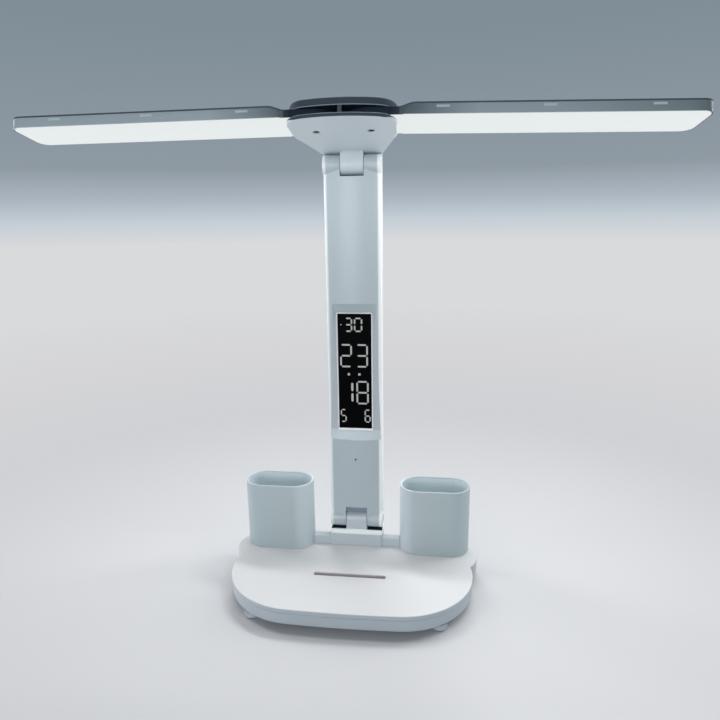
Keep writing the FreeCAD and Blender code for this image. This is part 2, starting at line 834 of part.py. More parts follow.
def hinge_parts(prefix, axis, place=None):
    """The pin and washers ride with the knuckle."""
    rod = cylinder(prefix + "_hinge_rod", "X", axis, cell("pin_radius"), -cap_inner, cap_inner)
    node(group(prefix + "_hinge_pin", rod), prefix + "_hinge_pin", place)
    rings = []
    for n, (low, high) in enumerate(
        ((-knuckle_half - cell("washer_height"), -knuckle_half),
         (knuckle_half, knuckle_half + cell("washer_height")))
    ):
        disc = cylinder(f"{prefix}_washer_disc_{n}", "X", axis, cell("washer_radius"), low, high)
        hole = cylinder(f"{prefix}_washer_hole_{n}", "X", axis, pin_seat, low - overrun, high + overrun)
        rings.append(cut(f"{prefix}_washer_{n}", disc, hole))
    node(group(prefix + "_hinge_washers", *rings), prefix + "_hinge_washers", place)


def hinge_caps(prefix, axis):
    """Round covers pressed into the outer faces of the column's ears."""
    radius = cell("hinge_cap_radius") - cell("hinge_cap_clearance")
    caps = [
        cylinder(f"{prefix}_cap_left", "X", axis, radius, -column_half, -cap_inner),
        cylinder(f"{prefix}_cap_right", "X", axis, radius, cap_inner, column_half),
    ]
    node(group(prefix + "_hinge_caps", *caps), prefix + "_hinge_caps")


hinge_parts("lower", lower_axis)
upper_axis = (hinge_back, cell("upper_axis_height"))

# Column: an arched hollow post, split into a front cover with the hinge ears and a rear cover

column_back = column_face + hinge_radius * 2
split = column_face + cell("column_split")
axis_low, axis_high = lower_axis[1], upper_axis[1]


def column_section(inset, back):
    """The column's plan: an arched front, straight sides and a rear with rounded corners."""
    arch = number(cell("column_arch")) - inset
    half = number(column_half) - inset
    crown = number(column_face) + inset
    centre = crown + arch
    side = centre - math.sqrt(arch ** 2 - half ** 2)
    bend = number(cell("column_rear_round"))
    return closed_path(
        (-half, side, arch), (half, side), (half, back - bend, bend), (half - bend, back),
        (-half + bend, back, bend), (-half, back - bend),
    )


post = prism("column_post", "XY", [column_section(0, number(column_back))], axis_low, axis_high)
ears = [
    cylinder(f"ear_{n}", "X", axis, hinge_radius, low, high)
    for n, (axis, low, high) in enumerate(
        (axis, low, high)
        for axis in (lower_axis, upper_axis)
        for low, high in ((-column_half, -ear_inner), (ear_inner, column_half))
    )
]
notch = cell("notch_depth")
notches = [
    box("lower_notch", -ear_inner, column_face - overrun, axis_low - notch, ear_inner, column_back + overrun,
        axis_low + notch),
    box("upper_notch", -ear_inner, column_face - overrun, axis_high - notch, ear_inner, column_back + overrun,
        axis_high + notch),
]
pin_bores, cap_bores = [], []
for name, axis in (("lower", lower_axis), ("upper", upper_axis)):
    bore = cell("pin_radius") + cell("pin_running_clearance")
    pin_bores.append(cylinder(f"{name}_pin_bore", "X", axis, bore, -column_half - overrun,
                              column_half + overrun))
    cap_bores.append(cylinder(f"{name}_cap_bore_left", "X", axis, cell("hinge_cap_radius"),
                              -column_half - overrun,
                              -cap_inner))
    cap_bores.append(cylinder(f"{name}_cap_bore_right", "X", axis, cell("hinge_cap_radius"), cap_inner,
                              column_half + overrun))
cavity_low = axis_low + cell("rear_cover_margin")
cavity_high = axis_high - cell("rear_cover_margin")
rear_opening = box("rear_opening", -column_half - overrun, split, cavity_low, column_half + overrun,
                   column_back + overrun, cavity_high)
cavity_back = number(column_back) - number(cell("column_rear_wall"))
cavity = prism("column_cavity", "XY", [column_section(number(cell("column_wall")), cavity_back)],
               cavity_low, cavity_high)

# clock bay: a tray behind the face with drafted walls down to its floor
bay_floor = column_face + cell("bay_depth")
bay_back = bay_floor + cell("bay_wall")
bay_high, bay_low = cell("bay_top_height"), cell("bay_bottom_height")
window_low = cell("window_bottom_height")
window_high = window_low + cell("window_length")
window_half = cell("window_half_width")
border = cell("window_border")
bay_fill = overlap(
    "bay_fill",
    prism("bay_fill_section", "XY", [column_section(number(cell("column_wall")) / 2, cavity_back)], bay_low,
          bay_high),
    box("bay_fill_depth", -column_half, column_face, bay_low, column_half, bay_back, bay_high),
)


def bay_cutter():
    """The space in front of the bay's floor.

    Its mouth is a rectangle that widens downwards, drawn on the arched face, so that its edges
    stay straight from the front. Ruled walls run from there to the border round the window.
    """
    arch = number(cell("column_arch"))
    crown = number(column_face)
    outer = [(-number(cell("bay_bottom_half_width")), number(bay_low)),
             (number(cell("bay_bottom_half_width")), number(bay_low)),
             (number(cell("bay_top_half_width")), number(bay_high)),
             (-number(cell("bay_top_half_width")), number(bay_high))]
    side = number(window_half + border)
    inner = [(-side, number(window_low - border)), (side, number(window_low - border)),
             (side, number(window_high + border)), (-side, number(window_high + border))]
    floor = number(bay_floor)
    proud = crown - number(overrun)

    def face_y(x):
        return crown + arch - math.sqrt(arch ** 2 - x ** 2)

    def arch_edge(start, end):
        """An edge on the arched face between two points at one height."""
        middle = FreeCAD.Vector(0, face_y(0), start.z)
        return Part.Arc(start, middle, end).toShape()

    front_points = [FreeCAD.Vector(x, proud, z) for x, z in outer]
    face_points = [FreeCAD.Vector(x, face_y(x), z) for x, z in outer]
    floor_points = [FreeCAD.Vector(x, floor, z) for x, z in inner]

    def ring(points, arched):
        edges = []
        for place, start in enumerate(points):
            end = points[(place + 1) % len(points)]
            flat_height = abs(start.z - end.z) < abs(start.x - end.x)
            if arched and flat_height:
                edges.append(arch_edge(start, end))
            else:
                edges.append(Part.makeLine(start, end))
        return edges

    rings = [ring(front_points, False), ring(face_points, True), ring(floor_points, False)]
    faces = [Part.Face(Part.Wire(rings[0])), Part.Face(Part.Wire(rings[2]))]
    for first, second in zip(rings, rings[1:]):
        for one, other in zip(first, second):
            faces.append(Part.makeRuledSurface(one, other))
    shape = Part.Solid(Part.Shell(faces))
    if shape.Volume < 0:
        shape.reverse()
    return shape


bay_space = doc.addObject("Part::Feature", "bay_space")
bay_space.Shape = bay_cutter()
window_cut = box("window_cut", -window_half, bay_floor - overrun, window_low, window_half, bay_back + overrun,
                 window_high)

# screw posts that join the two covers, and the touch light's hole
column_screw_places = [
    (cell("column_screw_x") * side, height)
    for side in (-1, 1)
    for height in (cavity_low + cell("column_screw_end"), cavity_high - cell("column_screw_end"))
]
post_front = column_face + cell("column_wall") / 2
post_shape = prism("post_region", "XY", [column_section(number(cell("column_wall")) / 2, cavity_back)],
                   cavity_low, cavity_high)
front_posts = [cylinder(f"front_post_{n}", "Y", place, cell("column_boss_radius"), post_front, split)
               for n, place in enumerate(column_screw_places)]
front_posts = overlap("front_posts", join("front_posts_long", *front_posts), post_shape)
screw_tip = split - cell("screw_bite") + cell("column_wall") / 2
front_threads = [cylinder(f"front_thread_{n}", "Y", place, cell("screw_radius"), screw_tip, split + overrun)
                 for n, place in enumerate(column_screw_places)]
touch_axis = (column_half * 0, cell("touch_light_height"))
touch_hole = cylinder("touch_hole", "Y", touch_axis, cell("touch_light_radius") + cell("lens_clearance") / 2,
                      column_face - overrun, column_face + cell("column_wall") * 2)

column_whole = cut("column_whole", join("column_with_ears", post, *ears), *notches, *pin_bores, *cap_bores)
front_shell = cut("front_shell", column_whole, rear_opening, cavity)
node(
    cut("column_front_cover", join("front_with_bay", front_shell, bay_fill, front_posts),
        bay_space, window_cut, touch_hole, *front_threads),
    "column_front_cover",
)

rear_gap = cell("seam_gap") / 2
rear_blank = overlap(
    "rear_blank", prism("rear_section", "XY", [column_section(0, number(column_back))], axis_low, axis_high),
    box("rear_region", -column_half, split + rear_gap, cavity_low + rear_gap, column_half, column_back,
        cavity_high - rear_gap),
)
rear_wall_face = column_back - cell("column_rear_wall")
rear_hollow = prism(
    "rear_hollow", "XY", [column_section(number(cell("column_wall")), cavity_back)],
    cavity_low + cell("column_wall"), cavity_high - cell("column_wall"),
)
rear_posts = [cylinder(f"rear_post_{n}", "Y", place, cell("column_boss_radius"), split + rear_gap,
                       rear_wall_face)
              for n, place in enumerate(column_screw_places)]
head_seat = column_back - cell("screw_head_height")
rear_cuts = []
for n, place in enumerate(column_screw_places):
    rear_cuts += [
        cylinder(f"rear_hole_{n}", "Y", place, screw_clear, split - overrun, column_back + overrun),
        cylinder(f"rear_sink_{n}", "Y", place, cell("screw_head_radius") + cell("screw_clearance"), head_seat,
                 column_back + overrun),
    ]
button_heights = [cell("button_first_height") + cell("button_pitch") * n for n in (0, 1, 2)]
centre_x = column_half * 0
rear_cuts += [
    cylinder(f"button_hole_{n}", "Y", (centre_x, height), cell("button_radius") + cell("button_clearance"),
             split - overrun, column_back + overrun)
    for n, height in enumerate(button_heights)
]
node(
    cut("column_rear_cover", join("rear_with_posts", cut("rear_shell", rear_blank, rear_hollow), *rear_posts),
        *rear_cuts),
    "column_rear_cover",
)


def rear_screw(name, x, z):
    """A screw driven forwards from the rear cover."""
    head = cylinder(name + "_head", "Y", (x, z), cell("screw_head_radius"), head_seat, column_back)
    thread = cylinder(name + "_thread", "Y", (x, z), cell("screw_radius"), screw_tip, head_seat)
    return join(name, head, thread)


node(group("column_screws",
           *[rear_screw(f"column_screw_{n}", x, z) for n, (x, z) in enumerate(column_screw_places)]),
     "column_screws")
hinge_caps("lower", lower_axis)
hinge_caps("upper", upper_axis)

# Clock: smoked lens, segment display, circuit board and three rear buttons

lens_clear = cell("lens_clearance")
lens_face = bay_floor + cell("lens_recess")
node(
    box("clock_lens", -window_half + lens_clear, lens_face, window_low + lens_clear, window_half - lens_clear,
        bay_back, window_high - lens_clear),
    "clock_lens",
)
margin = cell("display_margin")
display_back = bay_back + cell("display_depth")
node(
    box("digit_display", -window_half - margin, bay_back, window_low - margin, window_half + margin,
        display_back,
        window_high + margin),
    "digit_display",
)
clock_board_back = display_back + cell("clock_board_depth")
node(
    box("clock_board", -window_half - margin, display_back, window_low - margin * 2, window_half + margin,
        clock_board_back, window_high + margin * 2),
    "clock_board",
)
button_face = rear_wall_face
flange_front = button_face - cell("button_flange_height") - lens_clear
button_names = ("mode_button", "up_button", "down_button")
for n, (label, height) in enumerate(zip(button_names, button_heights)):
    place = (centre_x, height)
    stem = cylinder(label + "_stem", "Y", place, cell("button_radius"), flange_front,
                    column_back + cell("button_proud"))
    flange = cylinder(label + "_flange", "Y", place, cell("button_radius") + cell("button_flange"),
                      flange_front,
                      button_face - lens_clear)
    node(join(label, stem, flange), label)
switch_half = cell("switch_half_width")
switch_back = flange_front - cell("button_travel") - lens_clear
node(
    group("button_switches", *[
        box(f"switch_{n}", -switch_half, clock_board_back, height - switch_half, switch_half, switch_back,
            height + switch_half)
        for n, height in enumerate(button_heights)
    ]),
    "button_switches",
)

# Touch switch: a light pipe in the face and a sensing plate behind it

touch_half = cell("touch_plate_half_width")
inner_arch = number(cell("column_arch")) - number(cell("column_wall"))
plate_sink = Size(
    inner_arch - math.sqrt(inner_arch ** 2 - number(touch_half) ** 2),
    "((Sizes.column_arch - Sizes.column_wall)"
    " - sqrt(pow(Sizes.column_arch - Sizes.column_wall; 2) - pow(Sizes.touch_plate_half_width; 2)))",
)
touch_face = column_face + cell("column_wall") + plate_sink
touch_low = cell("touch_light_height") - cell("touch_plate_length") / 2
node(
    box("touch_plate", -touch_half, touch_face, touch_low, touch_half, touch_face + cell("touch_plate_depth"),
        touch_low + cell("touch_plate_length")),
    "touch_plate",
)
node(
    cylinder("touch_light", "Y", touch_axis, cell("touch_light_radius"),
             column_face + cell("touch_light_recess"),
             touch_face),
    "touch_light",
)

# Flat wires up the column, laid on the rear cover

loom_x = cell("loom_place_x")
node(
    box("column_loom", loom_x, rear_wall_face - cell("loom_depth"), cavity_low + cell("column_wall"),
        loom_x + cell("loom_width"), rear_wall_face, cavity_high - cell("column_wall")),
    "column_loom",
)

# Head: modelled level about the upper hinge axis, then leaned back and set on that axis

head_place = FreeCAD.Placement(
    FreeCAD.Vector(0, number(upper_axis[0]), number(upper_axis[1])),
    FreeCAD.Rotation(FreeCAD.Vector(1, 0, 0), -number(cell("head_lean"))),
)
underside = cell("head_underside")
shell_top = underside + cell("shell_height")
cover_base = shell_top + cell("wing_gap")
cover_top = cover_base + cell("hub_cover_height")
pivot_places = [(cell("pivot_place_x") * side, -cell("pivot_reach")) for side in (-1, 1)]


def hub_outline(inset, setback=0):
    """The hub's plan: a broad arched front that narrows to the column's width at the rear."""
    reach = number(cell("hub_reach")) - setback
    front_arc = number(cell("hub_front_arc"))
    corner_arc = number(cell("hub_corner_arc"))
    half = number(cell("hub_half_width"))
    side_arc = number(cell("hub_side_arc"))
    lean = math.radians(number(cell("hub_neck_angle")))
    neck = number(column_half) - inset
    corner_x = half - corner_arc
    centre_y = front_arc - reach
    turn = math.asin(corner_x / (front_arc - corner_arc))
    corner_y = centre_y - (front_arc - corner_arc) * math.cos(turn)
    touch = ((front_arc - inset) * math.sin(turn), centre_y - (front_arc - inset) * math.cos(turn))
    side_start = -number(cell("hub_side_start"))
    bend_x = half - side_arc + (side_arc - inset) * math.cos(lean)
    bend_y = side_start + (side_arc - inset) * math.sin(lean)
    neck_y = bend_y + (bend_x - neck) / math.tan(lean)
    rear = number(cell("hub_rear")) - inset
    bend = number(cell("hub_rear_round"))
    side = half - inset
    arc = corner_arc - inset
    return closed_path(
        (-touch[0], touch[1], front_arc - inset), (touch[0], touch[1], arc), (side, corner_y),
        (side, side_start, side_arc - inset), (bend_x, bend_y), (neck, neck_y),
        (neck, rear - bend, bend), (neck - bend, rear), (-neck + bend, rear, bend), (-neck, rear - bend),
        (-neck, neck_y), (-bend_x, bend_y, side_arc - inset), (-side, side_start), (-side, corner_y, arc),
    )


zero = column_half * 0
head_axis = (zero, zero)
shell_plate = prism("shell_plate", "XY", [hub_outline(0)], underside, shell_top)
hub_wall = overlap(
    "hub_wall",
    prism("hub_wall_section", "XY", [hub_outline(0)], shell_top, cover_base),
    box("hub_wall_region", -cell("hub_half_width"), -cell("hub_wall_place"), shell_top,
        cell("hub_half_width"),
        cell("hub_rear"), cover_base),
)
upper_knuckle = join(
    "upper_knuckle",
    cylinder("upper_knuckle_round", "X", head_axis, hinge_radius, -knuckle_half, knuckle_half),
    box("upper_knuckle_web", -knuckle_half, -hinge_radius, zero, knuckle_half, hinge_radius, underside),
)
post_front_y = -cell("hub_reach") + cell("hub_cover_setback") + cell("post_inset")
front_stop = box("front_stop", -cell("post_half_width"), post_front_y, shell_top, cell("post_half_width"),
                 post_front_y + cell("post_depth"), cover_base)
pivot_clear = cell("pivot_screw_radius") + cell("screw_clearance")
pivot_seat = underside + cell("pivot_head_recess") + cell("pivot_head_height")
hub_cuts = [cylinder("upper_pin_seat", "X", head_axis, pin_seat, -knuckle_half - overrun,
                     knuckle_half + overrun)]
for n, place in enumerate(pivot_places):
    hub_cuts += [
        cylinder(f"pivot_sink_{n}", "Z", place, cell("pivot_head_radius") + cell("screw_clearance"),
                 underside - overrun, pivot_seat),
        cylinder(f"pivot_hole_{n}", "Z", place, pivot_clear, underside, shell_top + overrun),
    ]
node(
    cut("hub_lower_cover", join("hub_shell", shell_plate, hub_wall, upper_knuckle, front_stop), *hub_cuts),
    "hub_lower_cover", head_place,
)
cover_setback = cell("hub_cover_setback")
cover_plan = hub_outline(number(cell("hub_cover_inset")), number(cover_setback))
cover_blank = prism("cover_blank", "XY", [cover_plan], cover_base, cover_top)
cover_soft = soften("cover_soft", cover_blank, cell("hub_cover_round"), level(cover_top))
cover_threads = [cylinder(f"cover_screw_thread_{n}", "Z", place, cell("pivot_screw_radius"),
                          cover_base - overrun,
                          cover_base + cell("pivot_bite"))
                 for n, place in enumerate(pivot_places)]
node(cut("hub_top_cover", cover_soft, *cover_threads), "hub_top_cover", head_place)
hinge_parts("upper", head_axis, head_place)

# Wing pivots: a bush, a screw through it and a friction disc under each tongue

bushes, pivot_screws, discs = [], [], []
for n, place in enumerate(pivot_places):
    bush = cylinder(f"bush_{n}", "Z", place, cell("bush_radius"), shell_top, cover_base)
    bore = cylinder(f"bush_bore_{n}", "Z", place, pivot_clear, shell_top - overrun, cover_base + overrun)
    bushes.append(cut(f"pivot_bush_{n}", bush, bore))
    head = cylinder(f"pivot_head_{n}", "Z", place, cell("pivot_head_radius"),
                    pivot_seat - cell("pivot_head_height"), pivot_seat)
    shank = cylinder(f"pivot_shank_{n}", "Z", place, cell("pivot_screw_radius"), pivot_seat,
                     cover_base + cell("pivot_bite"))
    pivot_screws.append(join(f"pivot_screw_{n}", head, shank))
    disc = cylinder(f"disc_{n}", "Z", place, cell("disc_radius"), shell_top, shell_top + cell("disc_height"))
    disc_hole = cylinder(f"disc_hole_{n}", "Z", place, cell("bush_radius") + cell("bush_clearance"),
                         shell_top - overrun, shell_top + cell("disc_height") + overrun)
    discs.append(cut(f"friction_disc_{n}", disc, disc_hole))
node(group("pivot_bushes", *bushes), "pivot_bushes", head_place)
node(group("pivot_screws", *pivot_screws), "pivot_screws", head_place)
node(group("friction_discs", *discs), "friction_discs", head_place)

# Wings: one set of pieces in the wing's own frame, placed on either pivot

wing_base = shell_top + cell("disc_height") + cell("disc_clearance")
wing_top = wing_base + cell("wing_height")
housing_base = wing_base + cell("diffuser_height")
tongue_top = cover_base - cell("tongue_clearance")
wing_half = cell("wing_half_width")
tongue_half_width = cell("tongue_half_width")
wing_shoulder = cell("wing_shoulder")
wing_tip = cell("wing_length")
tip_round = cell("wing_tip_round")
cavity_top = wing_top - cell("wing_roof")
cavity_half = wing_half - cell("wing_wall")


def wing_plan(start, half, tip, bend):
    """A strip from start to the tip, whose far corners are quarter arcs."""
    return closed_path((start, -half), (tip - bend, -half, bend), (tip, -half + bend),
                       (tip, half - bend, bend),
                       (tip - bend, half), (start, half))


def diffuser_plan(start, gap):
    """The diffuser's plan: as wide as the tongue, with the wing's rounded tip inside its side walls."""
    wall = wing_half - tongue_half_width - gap
    return wing_plan(start, tongue_half_width + gap, wing_tip - wall, tip_round - wall)


def tongue_plan(start_radius, end):
    """A strip from the pivot to end with a round end about the pivot."""
    return closed_path((zero, -start_radius), (end, -start_radius), (end, start_radius),
                       (zero, start_radius, start_radius), (-start_radius, zero, start_radius))


def wing(side):
    name = "left" if side < 0 else "right"
    sweep = number(cell(name + "_wing_sweep"))
    turn = sweep if side > 0 else 180 - sweep
    pivot = FreeCAD.Vector(side * number(cell("pivot_place_x")), -number(cell("pivot_reach")), 0)
    place = head_place.multiply(FreeCAD.Placement(pivot, FreeCAD.Rotation(FreeCAD.Vector(0, 0, 1), turn)))

    # housing: a thin tray open below, a ramp down to the tongue, windows for the snap hooks
    strip = prism(name + "_strip", "XY", [wing_plan(wing_shoulder, wing_half, wing_tip, tip_round)],
                  wing_base, wing_top)
    strip = soften(name + "_strip_soft", strip, cell("wing_edge_round"), level(wing_top))
    ramp = prism(
        name + "_ramp", "XZ",
        [closed_path((wing_shoulder - overrun, tongue_top),
                     (wing_shoulder, tongue_top, cell("wing_ramp") * 1.2),
                     (wing_shoulder + cell("wing_ramp"), wing_top + overrun),
                     (wing_shoulder - overrun, wing_top + overrun))],
        -wing_half - overrun, wing_half + overrun,
    )
    tongue = prism(name + "_tongue", "XY", [tongue_plan(tongue_half_width, wing_shoulder + overrun)],
                   wing_base, tongue_top)
    strip_under = prism(name + "_light_gap", "XY",
                        [box_outline(cell("diffuser_start"), -wing_half, wing_shoulder, wing_half)],
                        wing_base - overrun, housing_base)
    pocket = prism(name + "_light_pocket", "XY",
                   [diffuser_plan(wing_shoulder - overrun, cell("lens_clearance"))],
                   wing_base - overrun, housing_base)
    hollow = prism(
        name + "_hollow", "XY",
        [wing_plan(cell("cavity_start"), cavity_half, wing_tip - cell("wing_wall"),
                   tip_round - cell("wing_wall"))],
        housing_base - overrun, cavity_top,
    )
    bore = cylinder(name + "_bore", "Z", (zero, zero), cell("bush_radius") + cell("bush_clearance"),
                    wing_base - overrun, tongue_top + overrun)
    hook_places = [cell("hook_first") + cell("hook_pitch") * n for n in (0, 1, 2)]
    nose_top = wing_top - cell("hook_nose_drop")
    nose_base = nose_top - cell("hook_nose_height")
    gap = cell("window_clearance")
    windows = [
        box(f"{name}_window_{n}", x - cell("hook_half_length") - gap, -wing_half - overrun, nose_base - gap,
            x + cell("hook_half_length") + gap, wing_half + overrun, nose_top + gap)
        for n, x in enumerate(hook_places)
    ]
    body = join(name + "_housing_whole", cut(name + "_ramped", strip, ramp), tongue)
    node(cut(name + "_wing_housing", body, hollow, bore, strip_under, pocket, *windows),
         name + "_wing_housing", place)

    # diffuser: a plate that closes the tray between its walls, held by hooks in the windows
    lens_plate = prism(name + "_plate", "XY", [diffuser_plan(cell("diffuser_start"), zero)],
                       wing_base, housing_base)
    tight = cell("lens_clearance")
    hooks = []
    for n, x in enumerate(hook_places):
        for edge, sign in (("near", -1), ("far", 1)):
            legs = (cavity_half - tight - cell("hook_depth"), cavity_half - tight, wing_half - gap)
            inner, middle, outer = [leg * sign for leg in legs]
            low, mid, high = (outer, middle, inner) if sign < 0 else (inner, middle, outer)
            leg_low, leg_high = (mid, high) if sign < 0 else (low, mid)
            x0, x1 = x - cell("hook_half_length"), x + cell("hook_half_length")
            hooks.append(box(f"{name}_leg_{edge}_{n}", x0, leg_low, housing_base, x1, leg_high, nose_top))
            hooks.append(box(f"{name}_nose_{edge}_{n}", x0, low, nose_base, x1, high, nose_top))
    node(join(name + "_diffuser", lens_plate, *hooks), name + "_diffuser", place)

    # light strip: a board against the roof and a row of chips under it
    board_low = cavity_top - cell("led_board_height")
    strip_start = cell("cavity_start") + cell("led_pitch") / 2
    strip_end = wing_tip - tip_round
    half = cell("led_board_half_width")
    strip_board = box(name + "_strip_board", strip_start, -half, board_low, strip_end, half, cavity_top)
    node(group(name + "_led_board", strip_board), name + "_led_board", place)
    count = int((number(strip_end) - number(strip_start)) / number(cell("led_pitch")))
    chip_half_width = cell("led_half_width")
    chips = [
        box(f"{name}_chip_{row}_{n}", strip_start + cell("led_pitch") * (n + 0.5) - chip_half_width,
            y - chip_half_width, board_low - cell("led_height"),
            strip_start + cell("led_pitch") * (n + 0.5) + chip_half_width, y + chip_half_width, board_low)
        for row, y in enumerate((-half / 2, half / 2))
        for n in range(count)
    ]
    node(group(name + "_led_chips", *chips), name + "_led_chips", place)


wing(-1)
wing(1)

# Build, check every object, then write one file for each sub-part

doc.recompute()
for item in doc.Objects:
    if "Invalid" in item.State or "Error" in item.State:
        raise RuntimeError(f"{item.Label} failed: {item.State}")
os.makedirs("parts", exist_ok=True)
for item in NODES:
    shape = item.Shape
    if shape.isNull() or not shape.isValid():
        raise RuntimeError(f"{item.Label} has no valid shape")
for item in NODES:
    item.Shape.exportStep(f"parts/{item.Label}.step")
print(len(NODES), "sub-parts")
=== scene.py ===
"""Looks of the folding desk lamp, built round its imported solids.

Shapes are worked out in millimetres and scaled to metres once, when a mesh is made. Most pieces are
stacks of one outline: the outline is moved in by some amount at each height, which gives rounded
edges, hollow cups and seams. The light wings are sections carried along their length.
"""

import json
import math

import bpy
import numpy as np
from mathutils import Matrix, Vector

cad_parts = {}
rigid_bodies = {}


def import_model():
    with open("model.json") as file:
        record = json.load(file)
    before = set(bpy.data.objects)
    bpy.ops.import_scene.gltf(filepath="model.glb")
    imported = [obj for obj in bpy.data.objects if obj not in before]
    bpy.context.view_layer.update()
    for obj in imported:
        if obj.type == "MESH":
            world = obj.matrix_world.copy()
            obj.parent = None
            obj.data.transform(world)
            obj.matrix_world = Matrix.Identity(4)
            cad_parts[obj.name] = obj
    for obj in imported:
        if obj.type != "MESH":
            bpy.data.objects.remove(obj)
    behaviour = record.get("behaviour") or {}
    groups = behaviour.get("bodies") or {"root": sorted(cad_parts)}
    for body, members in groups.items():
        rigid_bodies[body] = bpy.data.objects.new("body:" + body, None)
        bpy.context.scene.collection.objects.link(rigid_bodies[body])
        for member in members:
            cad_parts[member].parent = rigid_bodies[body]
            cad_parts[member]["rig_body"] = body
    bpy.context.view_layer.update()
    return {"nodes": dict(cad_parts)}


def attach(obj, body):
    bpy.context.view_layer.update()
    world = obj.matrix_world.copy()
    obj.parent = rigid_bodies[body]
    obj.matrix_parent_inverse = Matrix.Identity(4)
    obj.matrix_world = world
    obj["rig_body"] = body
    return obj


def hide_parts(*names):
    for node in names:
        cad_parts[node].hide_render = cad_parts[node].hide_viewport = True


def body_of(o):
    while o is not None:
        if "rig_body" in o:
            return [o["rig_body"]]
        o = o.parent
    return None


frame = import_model()

# One millimetre in metres, turns in radians, and the fold in degrees that stays a sharp edge
MILLIMETRE = 0.001
TURN = 2 * math.pi
QUARTER = math.pi / 2
SHARP_DEGREES = 32
# A side is -1 or 1 along X, as seen from the front
SIDE_NAMES = {-1: "left", 1: "right"}
PLASTIC_IOR = 1.53
METAL_IOR = 1.5
BACKDROP = "#d9dadc"

# Heights and places shared by several pieces, in millimetres
BASE_FRONT = -63.0
BASE_REAR = 63.0
BASE_TOP = 20.0
RIM_BASE = 16.0
TRAY_TOP = 15.7
TRAY_BASE = 5.4
FOOT_PLACES = ((-75.0, -43.6), (75.0, -43.6), (-75.0, 43.0), (75.0, 43.0))
FOOT_RADIUS = 6.8
SOCKET_X = 36.0
SOCKET_Y = 59.0
SOCKET_Z = 13.0
CUP_X = 70.4
CUP_Y = 41.4
CUP_HALF_LENGTH = 31.0
CUP_HALF_WIDTH = 16.8
CUP_TOP = 81.3
SLOT_Y = -11.3
SLOT_HALF_LENGTH = 30.5
SLOT_HALF_WIDTH = 2.5
BLOCK_TOP = 35.2
RIDGE_TOP = 28.4
HINGE_Y = 46.0
HINGE_RADIUS = 8.0
LOWER_AXIS = 43.6
UPPER_AXIS = 355.0
KNUCKLE_HALF = 9.4
EAR_INNER = 9.7
COLUMN_FACE = 38.0
COLUMN_ARCH = 60.0
COLUMN_HALF = 23.8
COLUMN_SPLIT = 48.6
COLUMN_BACK = 54.0
COLUMN_LOW = LOWER_AXIS + 10.0
COLUMN_HIGH = UPPER_AXIS - 10.0
SHELL_LOW = 55.85
SHELL_HIGH = 342.75
NOTCH_TOP = LOWER_AXIS + 13.4
TOUCH_LIGHT = 103.5
BAY_LOW = 121.6
BAY_HIGH = 243.0
BAY_LOW_HALF = 22.6
BAY_HIGH_HALF = 18.4
BAY_FLOOR = 42.3
BAY_BORDER = 1.0
WINDOW_HALF = 14.5
WINDOW_LOW = 131.8
WINDOW_HIGH = 234.2
WINDOW_MIDDLE = (WINDOW_LOW + WINDOW_HIGH) / 2
WINDOW_HALF_HEIGHT = (WINDOW_HIGH - WINDOW_LOW) / 2
FIGURE_FRONT = BAY_FLOOR + 0.19
FIGURE_BACK = BAY_FLOOR + 0.24

# The head's own sizes, measured from the upper axis
HEAD_LEAN = math.radians(12.9)
HUB_REACH = 79.6
UNDERSIDE = 8.3
SHELL_TOP = 11.2
HUB_COVER_BASE = 19.0
HUB_COVER_TOP = 25.2
HUB_COVER_INSET = 0.4
HUB_COVER_SETBACK = 6.2
HUB_WALL_Y = -31.4
PIVOT_X = 20.1
PIVOT_Y = -50.8

# The wings' own sizes: lengths from the pivot, heights from the upper axis
WING_SWEEP = {-1: math.radians(1.2), 1: math.radians(3.0)}
WING_BASE = 12.75
WING_TOP = 21.25
WING_TIP = 231.0
WING_TIP_BEND = 8.0
WING_HALF = 19.7
WING_SHOULDER = 22.4
WING_RAMP = 9.0
TONGUE_TOP = 18.7
TONGUE_HALF = 18.4


# Finishes

def linear(code):
    """The linear colour of an sRGB hex code: each channel c becomes c/12.92 up to 0.04045, and
    ((c + 0.055)/1.055) to the power 2.4 above it."""
    parts = np.array([int(code[n:n + 2], 16) for n in (1, 3, 5)]) / 255
    return tuple(np.where(parts <= 0.04045, parts / 12.92, ((parts + 0.055) / 1.055) ** 2.4))


def add_node(tree, kind, settings=None, links=None, stops=()):
    """Adds a node, fills its sockets or properties and links its inputs, by name or number, to
    other outputs. A colour ramp's stops are (position, sRGB code)."""
    made = tree.nodes.new(kind)
    for name, value in (settings or {}).items():
        if name in made.inputs:
            made.inputs[name].default_value = value
        else:
            setattr(made, name, value)
    for socket, output in (links or {}).items():
        tree.links.new(output, made.inputs[socket])
    for n, (position, code) in enumerate(stops):
        elements = made.color_ramp.elements
        element = elements[n] if n < 2 else elements.new(position)
        element.position = position
        element.color = (*linear(code), 1)
    return made


